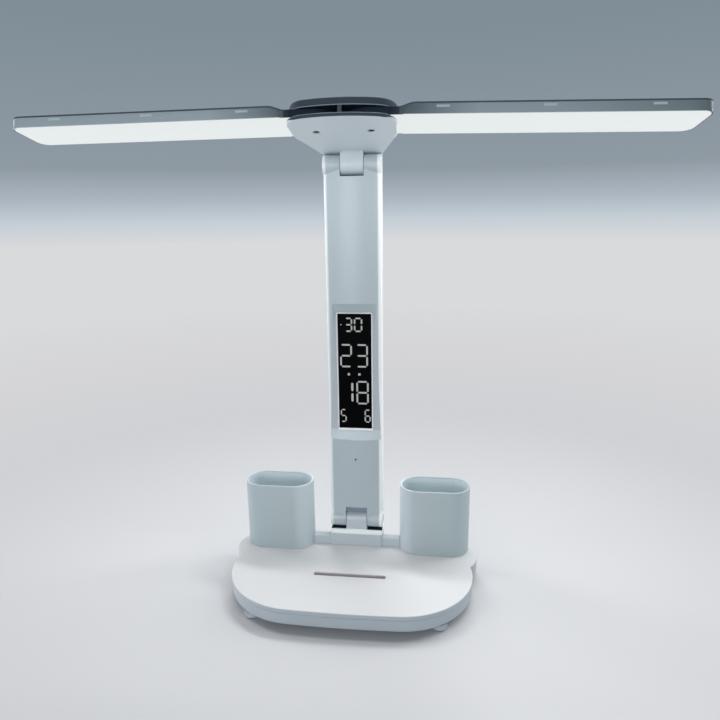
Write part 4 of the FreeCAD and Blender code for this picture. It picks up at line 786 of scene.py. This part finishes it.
def bay_cutter():
    """The clock bay's space: the mouth ahead of the face, the mouth on it, and the floor's border."""
    mouth, border = bay_outlines()
    rings = [at_depth(mouth, COLUMN_FACE - 3.0), at_depth(mouth, face_depth(mouth[:, 0]) - 0.01),
             at_depth(border, BAY_FLOOR + 0.7)]
    return closed_mesh("cutter", np.stack(rings), ABS_COLUMN_PAINTED_HIGHLIGHT, None)


def bay_lining():
    """A thin skin on the bay's four slopes, from the mouth on the face to the floor's border, which
    carries their painted light.
    """
    mouth, border = bay_outlines()
    face = face_depth(mouth[:, 0])
    rings = [at_depth(mouth, face + 0.02), at_depth(border, BAY_FLOOR - 0.02),
             at_depth(border, BAY_FLOOR + 0.4), at_depth(mouth, face + 0.5),
             at_depth(mouth, face + 0.02)]
    skin = closed_mesh("bay_lining", np.stack(rings), ABS_BAY_PAINTED_LIGHT, "column", capped=False)


def notch_cutter():
    """The space of the lower knuckle's notch, open below."""
    return closed_mesh("cutter", level_box(EAR_INNER, 36.0, 46.0, COLUMN_LOW - 1, NOTCH_TOP),
                       ABS_COLUMN_PAINTED_HIGHLIGHT, None)


def column_shell():
    """Arched shell between the column's ends, cut for the bay, the window, the touch light and the
    notch. Rows stand close beside each cut, so that no long thin face starts there."""
    heights = (SHELL_LOW, NOTCH_TOP + 0.5, 80.0, TOUCH_LIGHT - 2.5, TOUCH_LIGHT + 2.5,
               BAY_LOW - 2.6, BAY_LOW - 0.4, BAY_HIGH + 0.4, BAY_HIGH + 2.6, 290.0, SHELL_HIGH)
    shell = closed_mesh("shell", stack(column_outline, [(0.0, height) for height in heights]),
                        ABS_COLUMN_PAINTED_HIGHLIGHT, "column")
    window = rounded_rectangle(WINDOW_HALF, WINDOW_HALF_HEIGHT, 0.1, y=WINDOW_MIDDLE)
    touch_hole = circle(0.0, TOUCH_LIGHT, 0.95, 24)
    cut_out(shell, bay_cutter())
    cut_out(shell, through_cutter(window, BAY_FLOOR - 1.0, COLUMN_SPLIT + 1.0))
    cut_out(shell, through_cutter(touch_hole, COLUMN_FACE - 1.0, COLUMN_FACE + 3.0))
    cut_out(shell, notch_cutter())
    return shell


def column_end(low, high):
    """A full-depth end of the column."""
    return closed_mesh("end", stack(column_end_outline, [(0.0, low), (0.0, high)]),
                       ABS_COLUMN_PAINTED_HIGHLIGHT, "column")


def ear_strip(side, low, high):
    """The column's section beyond the ear's inner face, from the hinge axis to the column's end."""
    section = column_end_outline(0.0)
    half = section[:len(section) // 2]
    beyond = half[half[:, 0] > EAR_INNER]
    ring = np.concatenate([[(EAR_INNER, face_depth(EAR_INNER))], beyond,
                           [(EAR_INNER, COLUMN_BACK)]])
    return np.stack([at_height(ring * (side, 1), height) for height in np.linspace(low, high, 3)])


def column_front():
    """Front cover: the shell, two full-depth ends and four hinge ears, each round about its axis
    with a strip up to the end."""
    lower_end = column_end(COLUMN_LOW, SHELL_LOW)
    cut_out(lower_end, notch_cutter())
    parts = [column_shell(), lower_end, column_end(SHELL_HIGH, COLUMN_HIGH)]
    for axis, end in ((LOWER_AXIS, COLUMN_LOW), (UPPER_AXIS, COLUMN_HIGH)):
        for side in SIDE_NAMES:
            # the round part stops just inside the strip's side face, so the two share no plane
            ear = cylinder_rows(HINGE_RADIUS - 0.02,
                                *sorted((side * EAR_INNER, side * (COLUMN_HALF - 0.06))), 0.5)
            parts.append(closed_mesh("ear", ear + (0, HINGE_Y, axis), ABS_COLUMN_PAINTED_HIGHLIGHT, "column"))
            parts.append(closed_mesh("strip", ear_strip(side, axis, end), ABS_COLUMN_PAINTED_HIGHLIGHT, "column"))
    # a low angle keeps the folds at the bay's shallow corners sharp
    piece = join_pieces("column_front", *parts, sharp_degrees=12)
    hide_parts("column_front_cover")


def ear_caps():
    """The round end caps of both hinges, a hair proud of the ears."""
    for level, axis in (("lower", LOWER_AXIS), ("upper", UPPER_AXIS)):
        caps = []
        for side in SIDE_NAMES:
            cap = cylinder_rows(4.5, *sorted((side * (COLUMN_HALF - 0.85),
                                              side * (COLUMN_HALF + 0.05))), 0.3)
            caps.append(closed_mesh("cap", cap + (0, HINGE_Y, axis), ABS_CAP, "column"))
        caps = join_pieces(level + "_ear_caps", *caps)
        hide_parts(level + "_hinge_caps")


def notch_closers():
    """The lower notch's dark back, a plate of painted shade, and the sill and the dark rear lip, also
    painted shade, that close the upper notch.
    """
    for name, box, finish in (
        ("notch_back_painted_shade", level_box(EAR_INNER - 0.05, 39.8, 45.9, LOWER_AXIS + 8.9,
                                 NOTCH_TOP - 0.05), ABS_NOTCH_PAINTED_SHADE),
        ("notch_sill", level_box(EAR_INNER, 38.9, 52.4, COLUMN_HIGH - 0.5, COLUMN_HIGH + 1.0),
         ABS_COLUMN_PAINTED_HIGHLIGHT),
        ("notch_lip_painted_shade", level_box(EAR_INNER, 52.4, 53.9, COLUMN_HIGH - 0.5, COLUMN_HIGH + 2.8),
         ABS_NECK_PAINTED_SHADE),
    ):
        piece = closed_mesh(name, box, finish, "column")


def window_frame():
    """A pale bead, its round section carried round the window, and a thicker rod along its sill."""
    bead = 0.5
    rings = []
    for angle in np.linspace(0, TURN, 9):
        out, proud = bead + bead * math.cos(angle), bead * math.sin(angle)
        ring = rounded_rectangle(WINDOW_HALF + out, WINDOW_HALF_HEIGHT + out, bead + out,
                                 y=WINDOW_MIDDLE)
        rings.append(at_depth(ring, BAY_FLOOR - 0.1 - proud))
    piece = closed_mesh("window_bead", np.stack(rings), ABS_WINDOW_FRAME, "column", capped=False)
    rod, reach = circle(BAY_FLOOR - 0.15, WINDOW_LOW - 1.05, 0.85, 16), WINDOW_HALF + 0.9
    rod = np.stack([at_height(rod, x)[:, [2, 0, 1]] for x in (-reach, reach)])
    piece = closed_mesh("window_sill", rod, ABS_WINDOW_FRAME, "column")


# Clock digits: seven straight segments each, as thin plates on the window

SEGMENTS = {"0": "abcdef", "1": "bc", "2": "abged", "3": "abgcd", "5": "afgcd", "6": "afgedc",
            "8": "abcdefg"}
# Name, figure, lower left corner (x, z), (width, height) and stroke
CLOCK_FIGURES = (
    ("day_tens", "3", (-8.4, 218.4), (6.6, 12.4), 1.3),
    ("day_units", "0", (-0.4, 218.4), (7.2, 12.4), 1.3),
    ("hour_tens", "2", (-12.8, 187.2), (10.4, 20.6), 1.45),
    ("hour_units", "3", (1.0, 187.2), (10.4, 20.6), 1.45),
    ("minute_tens", "1", (-10.0, 154.4), (8.4, 20.8), 1.9),
    ("minute_units", "8", (1.0, 153.9), (10.8, 21.2), 1.45),
    ("date_left", "5", (-13.2, 137.2), (5.2, 12.0), 1.1),
    ("date_right", "6", (8.0, 137.2), (5.4, 12.0), 1.1),
)


def segment_bar(start, end, stroke):
    """A straight bar from start to end: six corners, with pointed ends and a small gap at each."""
    start, end = np.array(start), np.array(end)
    along = (end - start) / np.hypot(*(end - start))
    aside = np.array([-along[1], along[0]]) * stroke / 2
    gap, tip = along * stroke * 0.4, along * stroke / 2
    start, end = start + gap, end - gap
    return np.array([start, start + tip - aside, end - tip - aside, end, end - tip + aside,
                     start + tip + aside])


def digit(name, figure, corner, size, stroke):
    """One figure: each of its bars is a front face, a rear face and a band of quads between."""
    left, low = np.array(corner) + stroke / 2
    right, high = np.array(corner) + size - stroke / 2
    middle = corner[1] + size[1] / 2
    ends = {"a": ((left, high), (right, high)), "b": ((right, high), (right, middle)),
            "c": ((right, middle), (right, low)), "d": ((left, low), (right, low)),
            "e": ((left, low), (left, middle)), "f": ((left, middle), (left, high)),
            "g": ((left, middle), (right, middle))}
    bars = [segment_bar(*ends[letter], stroke) for letter in SEGMENTS[figure]]
    points = np.stack([[at_depth(bar, depth) for depth in (FIGURE_FRONT, FIGURE_BACK)]
                       for bar in bars])
    front, rear = np.moveaxis(np.arange(len(bars) * 12).reshape(-1, 2, 6), 1, 0)
    # a bar's corners run anticlockwise seen from the front, so these faces point outwards
    bands = np.stack([front, rear, np.roll(rear, -1, axis=1), np.roll(front, -1, axis=1)], -1)
    faces = [*front.tolist(), *rear[:, ::-1].tolist(), *bands.reshape(-1, 4).tolist()]
    piece = finish_mesh(name, points.reshape(-1, 3) * MILLIMETRE, faces, SEGMENT_LIT, "column")


def dot(name, x, z, half):
    """A small square plate."""
    ring = rectangle(half, half, x, z)
    grid = np.stack([at_depth(ring, depth) for depth in (FIGURE_FRONT, FIGURE_BACK)])
    piece = closed_mesh(name, grid, SEGMENT_LIT, "column")


def clock_face():
    """Day over hours, two dots, minutes, and two small figures below."""
    for row in CLOCK_FIGURES:
        digit(*row)
    dot("colon_left", -5.4, 181.0, 1.0)
    dot("colon_right", 3.8, 181.0, 1.0)
    dot("day_mark", -11.6, 224.6, 0.45)


# Head

def hub_shade_band():
    """A thin band of painted shade on the hub's front: it follows the outline and narrows upwards at
    its ends.
    """
    low, high, reach, taper = UNDERSIDE + 0.3, SHELL_TOP - 0.3, 39.0, 8.0
    outer, inner = hub_outline(-0.04), hub_outline(0.6)
    ahead = outer[:, 1] < -52.0
    order = np.argsort(outer[ahead][:, 0])
    outer, inner = outer[ahead][order], inner[ahead][order]
    rise = eased((np.abs(outer[:, 0]) - (reach - taper)) / taper)
    bottom = low + (high - low - 0.05) * rise
    grid = np.stack([at_height(outer, bottom), at_height(inner, bottom), at_height(inner, high),
                     at_height(outer, high)], axis=1)
    piece = closed_mesh("hub_shade_band", grid, ABS_HUB_COVER_PAINTED_SHADE, "head", place_head)


def hub_rim_highlight(side):
    """A painted highlight on the rounding of the underside, a hair proud of the plate, along one side
    from corner to neck."""
    plan = hub_outline(0.0)
    along = (plan[:, 0] * side > 0) & (plan[:, 1] > -62.0) & (plan[:, 1] < 0.0)
    order = np.argsort(plan[along][:, 1])
    profile = [*rounding(0.95, UNDERSIDE - 0.05, -0.05, UNDERSIDE + 0.75, wall_first=False),
               (0.6, UNDERSIDE + 1.0)]
    lines = [at_height(hub_outline(inset)[along][order], height) for inset, height in profile]
    rim = closed_mesh(SIDE_NAMES[side] + "_hub_rim_highlight", np.stack(lines, axis=1), ABS_HUB_RIM_PAINTED_HIGHLIGHT, "head",
                      place_head)


def hub_lower():
    """Lower cover: a plate with softened edges and two screw holes, and the upper knuckle."""
    rows = [(3.0, UNDERSIDE), *rounding(0.9, UNDERSIDE, 0.0, UNDERSIDE + 0.7, wall_first=False),
            (0.0, SHELL_TOP - 0.4), *rounding(0.0, SHELL_TOP - 0.35, 0.35, SHELL_TOP, 5)]
    plate = closed_mesh("plate", stack(hub_outline, rows), ABS_HUB, "head", place_head)
    for side in SIDE_NAMES:
        hole = np.stack([at_height(circle(side * PIVOT_X, PIVOT_Y, 2.75, 32), height)
                         for height in (UNDERSIDE - 1, UNDERSIDE + 1.7)])
        cut_out(plate, closed_mesh("cutter", hole, ABS_HUB, None, place_head))
    knuckle = cylinder_rows(HINGE_RADIUS, -KNUCKLE_HALF, KNUCKLE_HALF, 0.5)
    web = stack(lambda inset: rounded_rectangle(KNUCKLE_HALF, HINGE_RADIUS, 0.5, inset),
                [(0.0, 0.0), (0.0, UNDERSIDE + 0.5)])
    parts = [closed_mesh("part", grid, ABS_HUB, "head", place_head) for grid in (knuckle, web)]
    piece = join_pieces("hub_lower", plate, *parts)
    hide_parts("hub_lower_cover", "upper_hinge_pin")


def hub_wall():
    """The solid neck between the covers, painted with the gap's shade."""
    def wall_outline(inset):
        """The hub's outline with every point ahead of the wall drawn back to it."""
        shape = hub_outline(inset)
        ahead = shape[:, 1] < HUB_WALL_Y
        edge = np.abs(shape[~ahead][:, 0]).max()
        shape[ahead, 0] = np.clip(shape[ahead, 0], -edge, edge)
        shape[ahead, 1] = HUB_WALL_Y
        return shape

    wall = closed_mesh("hub_wall",
                       stack(wall_outline, [(0.0, SHELL_TOP - 0.6), (0.0, HUB_COVER_BASE)]),
                       ABS_NECK_PAINTED_SHADE, "head", place_head)


def hub_post():
    """A small post between the covers, in the middle near the hub's front."""
    half = 1.5
    post_y = -HUB_REACH + HUB_COVER_SETBACK + 1.2 + half
    post = stack(lambda inset: rounded_rectangle(half, half, 0.3, inset, 0.0, post_y),
                 [(0.0, SHELL_TOP - 0.5), (0.0, HUB_COVER_BASE + 0.3)])
    post = closed_mesh("hub_post", post, ABS_WING_EDGE, "head", place_head)


def hub_top():
    """Top cover in painted shade: a paler lower edge that is a painted highlight, an upright side and a
    soft rounding to a flat top.
    """
    def outline(inset):
        return hub_outline(inset + HUB_COVER_INSET, HUB_COVER_SETBACK)

    low, high = HUB_COVER_BASE, HUB_COVER_TOP
    rows = [(0.6, low), *rounding(0.3, low, 0.0, low + 0.3, 5, wall_first=False),
            (0.0, low + 0.55), (0.6, low + 0.75), (0.6, low)]
    edge = closed_mesh("hub_top_edge_highlight", stack(outline, rows), ABS_HUB_EDGE_PAINTED_HIGHLIGHT, "head", place_head,
                       capped=False)
    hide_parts("hub_top_cover")
    # the cover's underside over the gap is painted shade
    under = closed_mesh("hub_top_under_shade", stack(outline, [(0.55, low + 0.02), (0.55, low + 0.7)]),
                        ABS_NECK_PAINTED_SHADE, "head", place_head)
    rows = [(0.3, low + 0.65), (0.05, low + 0.75), (0.05, high - 2.1),
            *rounding(0.05, high - 2.0, 2.6, high - 0.1, 9), (3.4, high), (3.9, high), (4.4, high)]
    piece = closed_mesh("hub_top", stack(outline, rows), ABS_HUB_COVER_PAINTED_SHADE, "head", place_head)
    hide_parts("hub_top_cover")


# Wings

def tip_stations(tip):
    """Places along the wing that crowd towards its tip: tip less bend, plus bend times the sine of
    even angles."""
    return tip - WING_TIP_BEND + WING_TIP_BEND * np.sin(np.linspace(0, QUARTER, 14))


def tip_half_width(x, half, tip):
    """Half width at x: full, and inside the tip's corner rounding half less bend plus the root of
    bend squared less the squared way into the corner."""
    bend = WING_TIP_BEND
    into = np.clip(x - (tip - bend), 0, bend)
    return half - bend + np.sqrt(np.maximum(bend ** 2 - into ** 2, 0))


def section_rows(x, half, low, high, top_bend, low_bend):
    """Sections across the wing at each x: a box whose upper and lower edges are quarter circles,
    no larger than the box's height allows."""
    x, half, low, high = (np.broadcast_to(value, len(x))[:, None] for value in (x, half, low, high))
    upper = np.minimum(top_bend, (high - low) * 0.45)
    lower = np.minimum(low_bend, (high - low) * 0.45)
    angle = np.linspace(0, QUARTER, 6)
    sine, cosine = np.sin(angle), np.cos(angle)
    y = np.hstack([half - lower + lower * sine, half - upper + upper * cosine])
    z = np.hstack([low + lower - lower * cosine, high - upper + upper * sine])
    y, z = np.hstack([y, -y[:, ::-1]]), np.hstack([z, z[:, ::-1]])
    return np.stack([np.broadcast_to(x, y.shape), y, z], -1)


def wing_housing(side):
    """Housing that widens and rises over a ramp from the tongue, with a slate strip of painted shade on
    its top.

    Stations stand close together on the ramp and round the tip.
    """
    name, body, place = SIDE_NAMES[side], SIDE_NAMES[side] + "_wing", place_wing(side)
    start, rise_length, widening_length = WING_SHOULDER - 2.4, WING_RAMP + 2.4, 5.0
    ramp = start + rise_length * np.linspace(0, 1, 21)
    x = np.concatenate([ramp, [WING_TIP - WING_TIP_BEND - 40], tip_stations(WING_TIP)[:-1],
                        [WING_TIP - 0.02]])
    top = TONGUE_TOP + (WING_TOP - TONGUE_TOP) * eased((x - start) / rise_length)
    widening = (WING_HALF - TONGUE_HALF) * eased((x - start) / widening_length)
    half = np.minimum(tip_half_width(x, WING_HALF, WING_TIP), TONGUE_HALF + widening)
    rows = section_rows(x, half - 0.02, WING_BASE + 0.1, top - 1.0, 0.1, 0.3)
    piece = closed_mesh(name + "_housing", rows, ABS_WING_PAINTED_SHADE, body, place)
    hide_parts(name + "_wing_housing")
    # the slate strip on top is painted shade
    rows = section_rows(x, half, top - 1.5, top, 1.2, 0.05)
    edge = closed_mesh(name + "_housing_top_shade", rows, ABS_WING_EDGE, body, place)


def tongue_outline(inset):
    """A strip that ends in a half circle about the pivot."""
    radius = TONGUE_HALF - inset
    end = WING_SHOULDER - 2.2
    return np.concatenate([arc(0, 0, radius, QUARTER, 3 * QUARTER, 33),
                           [(end, -radius), (end, radius)]])


def wing_tongue(side):
    """The tongue between the hub's covers, with softened edges, painted with the gap's shade."""
    name, low, high = SIDE_NAMES[side], WING_BASE + 0.1, TONGUE_TOP
    rows = [(0.3, low), (0.0, low + 0.3), (0.0, high - 0.8), (0.2, high - 0.3), (0.8, high)]
    tongue = closed_mesh(name + "_tongue", stack(tongue_outline, rows), ABS_NECK_PAINTED_SHADE, name + "_wing",
                         place_wing(side))


def lit_cover(side):
    """A plate with softened lower edges between the housing's walls, narrower below the tongue."""
    name, wall = SIDE_NAMES[side], 0.75
    x = np.array([14.0, 14.5, WING_SHOULDER, WING_SHOULDER + 0.8, WING_TIP - WING_TIP_BEND - 40,
                  *tip_stations(WING_TIP - wall)])
    half = tip_half_width(x, WING_HALF - wall, WING_TIP - wall)
    half[:3] = TONGUE_HALF - 0.4
    rows = section_rows(x, half, WING_BASE, WING_BASE + 0.5, 0.05, 0.2)
    cover = closed_mesh(name + "_opal", rows, OPAL_LIT, name + "_wing", place_wing(side))
    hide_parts(name + "_diffuser")


def cover_hooks(side):
    """The ends of the lit cover's hooks, as pale plates in the housing's side windows."""
    name = SIDE_NAMES[side]
    for n in range(3):
        for edge, edge_name in ((-1, "near"), (1, "far")):
            ring = rectangle(4.5, 0.06, 50.0 + 72.0 * n, edge * WING_HALF)
            plate = np.stack([at_height(ring, 17.05), at_height(ring, 18.65)])
            hook = closed_mesh(f"{name}_hook_{n}_{edge_name}", plate, OPAL_HOOK, name + "_wing",
                               place_wing(side))


base_top_side()
base_top()
slot_lining()
base_tray()
pen_cup(-1)
pen_cup(1)
hinge_block()
ear_gap_shades()
column_front()
ear_caps()
notch_closers()
window_frame()
bay_lining()
clock_face()
hub_wall()
hub_lower()
hub_shade_band()
hub_post()
hub_rim_highlight(-1)
hub_rim_highlight(1)
hub_top()
for lamp_side in SIDE_NAMES:
    wing_housing(lamp_side)
    wing_tongue(lamp_side)
    lit_cover(lamp_side)
    cover_hooks(lamp_side)


# Stage: floor, backdrop, lamps and camera

def floor_finish():
    """A pale matt floor near the lamp. Away from it the camera sees a plain tone instead, which
    ends in the backdrop's colour: the share of it is a smooth step of the way from the middle."""
    material = moulded_plastic("pale_floor", "#d2d2d4", 0.9, gloss=0.1)
    tree = material.node_tree
    place = add_node(tree, "ShaderNodeTexCoord")
    reach = add_node(tree, "ShaderNodeVectorMath", {"operation": "LENGTH"},
                     {"Vector": place.outputs["Object"]})
    fade = add_node(tree, "ShaderNodeMapRange",
                    {"From Min": 0.16, "From Max": 0.55, "interpolation_type": "SMOOTHSTEP"},
                    {"Value": reach.outputs["Value"]})
    path = add_node(tree, "ShaderNodeLightPath")
    share = add_node(tree, "ShaderNodeMath", {"operation": "MULTIPLY"},
                     {0: fade.outputs["Result"], 1: path.outputs["Is Camera Ray"]})
    far = add_node(tree, "ShaderNodeMapRange", {"From Min": 0.2, "From Max": 1.7},
                   {"Value": reach.outputs["Value"]})
    tone = add_node(tree, "ShaderNodeValToRGB", {}, {"Fac": far.outputs["Result"]},
                    ((0.0, "#cfd0d3"), (0.2, "#d0d1d4"), (0.5, "#d5d5d8"), (1.0, BACKDROP)))
    plain = add_node(tree, "ShaderNodeEmission", {"Strength": 1.0},
                     {"Color": tone.outputs["Color"]})
    shader = tree.nodes["Principled BSDF"]
    either = add_node(tree, "ShaderNodeMixShader", {},
                      {0: share.outputs[0], 1: shader.outputs[0], 2: plain.outputs[0]})
    tree.links.new(either.outputs[0], tree.nodes["Material Output"].inputs["Surface"])
    return material


def floor():
    """A disc under the lamp, seven metres in radius."""
    radius, count = 7.0, 96
    ring = at_height(circle(0, 0, radius, count), 0.0)
    finish_mesh("floor", ring, [list(range(count))], floor_finish(), None)


def room():
    """The room's light, and the backdrop that the camera and glossy surfaces see in its place."""
    world = bpy.data.worlds.new("studio")
    bpy.context.scene.world = world
    world.use_nodes = True
    tree = world.node_tree
    tree.nodes.clear()
    path = add_node(tree, "ShaderNodeLightPath")
    seen = add_node(tree, "ShaderNodeMath", {"operation": "MAXIMUM"},
                    {0: path.outputs["Is Camera Ray"], 1: path.outputs["Is Glossy Ray"]})
    direction = add_node(tree, "ShaderNodeTexCoord")
    parts = add_node(tree, "ShaderNodeSeparateXYZ", {}, {"Vector": direction.outputs["Generated"]})
    # the light is cool near the floor, strongest a little above it and weak overhead
    light = add_node(tree, "ShaderNodeValToRGB", {}, {"Fac": parts.outputs["Z"]},
                     ((0.0, "#6c767d"), (0.35, "#8f989e"), (0.7, "#858b8f"), (1.0, "#6a6f73")))
    fill = add_node(tree, "ShaderNodeBackground", {"Strength": 1.0},
                    {"Color": light.outputs["Color"]})
    # the backdrop is pale at floor level and turns grey a little above it
    lift = add_node(tree, "ShaderNodeMapRange", {"From Min": -0.06, "From Max": 0.26},
                    {"Value": parts.outputs["Z"]})
    tone = add_node(tree, "ShaderNodeValToRGB", {}, {"Fac": lift.outputs["Result"]},
                    ((0.05, BACKDROP), (0.156, "#c6cfd6"), (0.26, "#abb6c0"), (0.4, "#8f9aa3"),
                     (1.0, "#808e98")))
    backdrop = add_node(tree, "ShaderNodeBackground", {"Strength": 1.0},
                        {"Color": tone.outputs["Color"]})
    either = add_node(tree, "ShaderNodeMixShader", {},
                      {0: seen.outputs[0], 1: fill.outputs[0], 2: backdrop.outputs[0]})
    add_node(tree, "ShaderNodeOutputWorld", {}, {"Surface": either.outputs[0]})


def softbox(name, place, target, size, power):
    """A lamp with a lit area of size (width, height) that faces a point and isn't seen itself.
    Places and sizes are in metres, the power in watts."""
    lamp = bpy.data.lights.new(name, "AREA")
    lamp.shape = "RECTANGLE"
    lamp.size, lamp.size_y = size
    lamp.energy = power
    holder = bpy.data.objects.new(name, lamp)
    bpy.context.scene.collection.objects.link(holder)
    holder.visible_camera = False
    holder.location = place
    holder.rotation_mode = "QUATERNION"
    holder.rotation_quaternion = (Vector(target) - Vector(place)).to_track_quat("-Z", "Y")


def wing_glow(side):
    """The light of an open wing, from just below the middle of its lit cover straight down."""
    middle, below, down = 128.0, 1.0, 300.0
    ends = np.array([(middle, 0.0, WING_BASE - below), (middle, 0.0, WING_BASE - down)])
    ends = place_wing(side)(ends) * MILLIMETRE
    softbox(SIDE_NAMES[side] + "_glow", ends[0], ends[1], (0.19, 0.034), 0.2)


def camera():
    """The camera stands where the photo's edges place it, over a frame of 720 by 720 pixels."""
    frame_pixels, focal_pixels, sensor_mm = 720.0, 609.7, 36.0
    place = Vector((66.85, -464.91, 316.48))
    yaw, pitch, roll = 0.12227, -0.23535, 0.01222
    lens = bpy.data.cameras.new("view")
    lens.sensor_width = sensor_mm
    lens.lens = sensor_mm * focal_pixels / frame_pixels
    lens.clip_start = 0.01
    lens.clip_end = 50.0
    viewer = bpy.data.objects.new("view", lens)
    bpy.context.scene.collection.objects.link(viewer)
    looking = (Matrix.Rotation(yaw, 4, "Z") @ Matrix.Rotation(pitch, 4, "X")
               @ Matrix.Rotation(roll, 4, "Y") @ Matrix.Rotation(QUARTER, 4, "X"))
    viewer.matrix_world = Matrix.Translation(place * MILLIMETRE) @ looking
    bpy.context.scene.camera = viewer


floor()
room()
softbox("key", (0.22, 0.72, 1.45), (0, 0, 0.1), (1.4, 0.2), 15)
softbox("front", (-0.35, -1.6, 0.42), (0, 0, 0.2), (0.9, 0.4), 8.6)
softbox("left_strip", (-1.0, 0.45, 0.45), (0, 0, 0.2), (0.3, 1.2), 4.8)
softbox("right_strip", (1.0, 0.45, 0.45), (0, 0, 0.2), (0.3, 1.2), 5.5)
wing_glow(-1)
wing_glow(1)
camera()
bpy.context.scene.view_settings.view_transform = "Standard"

bpy.context.view_layer.update()
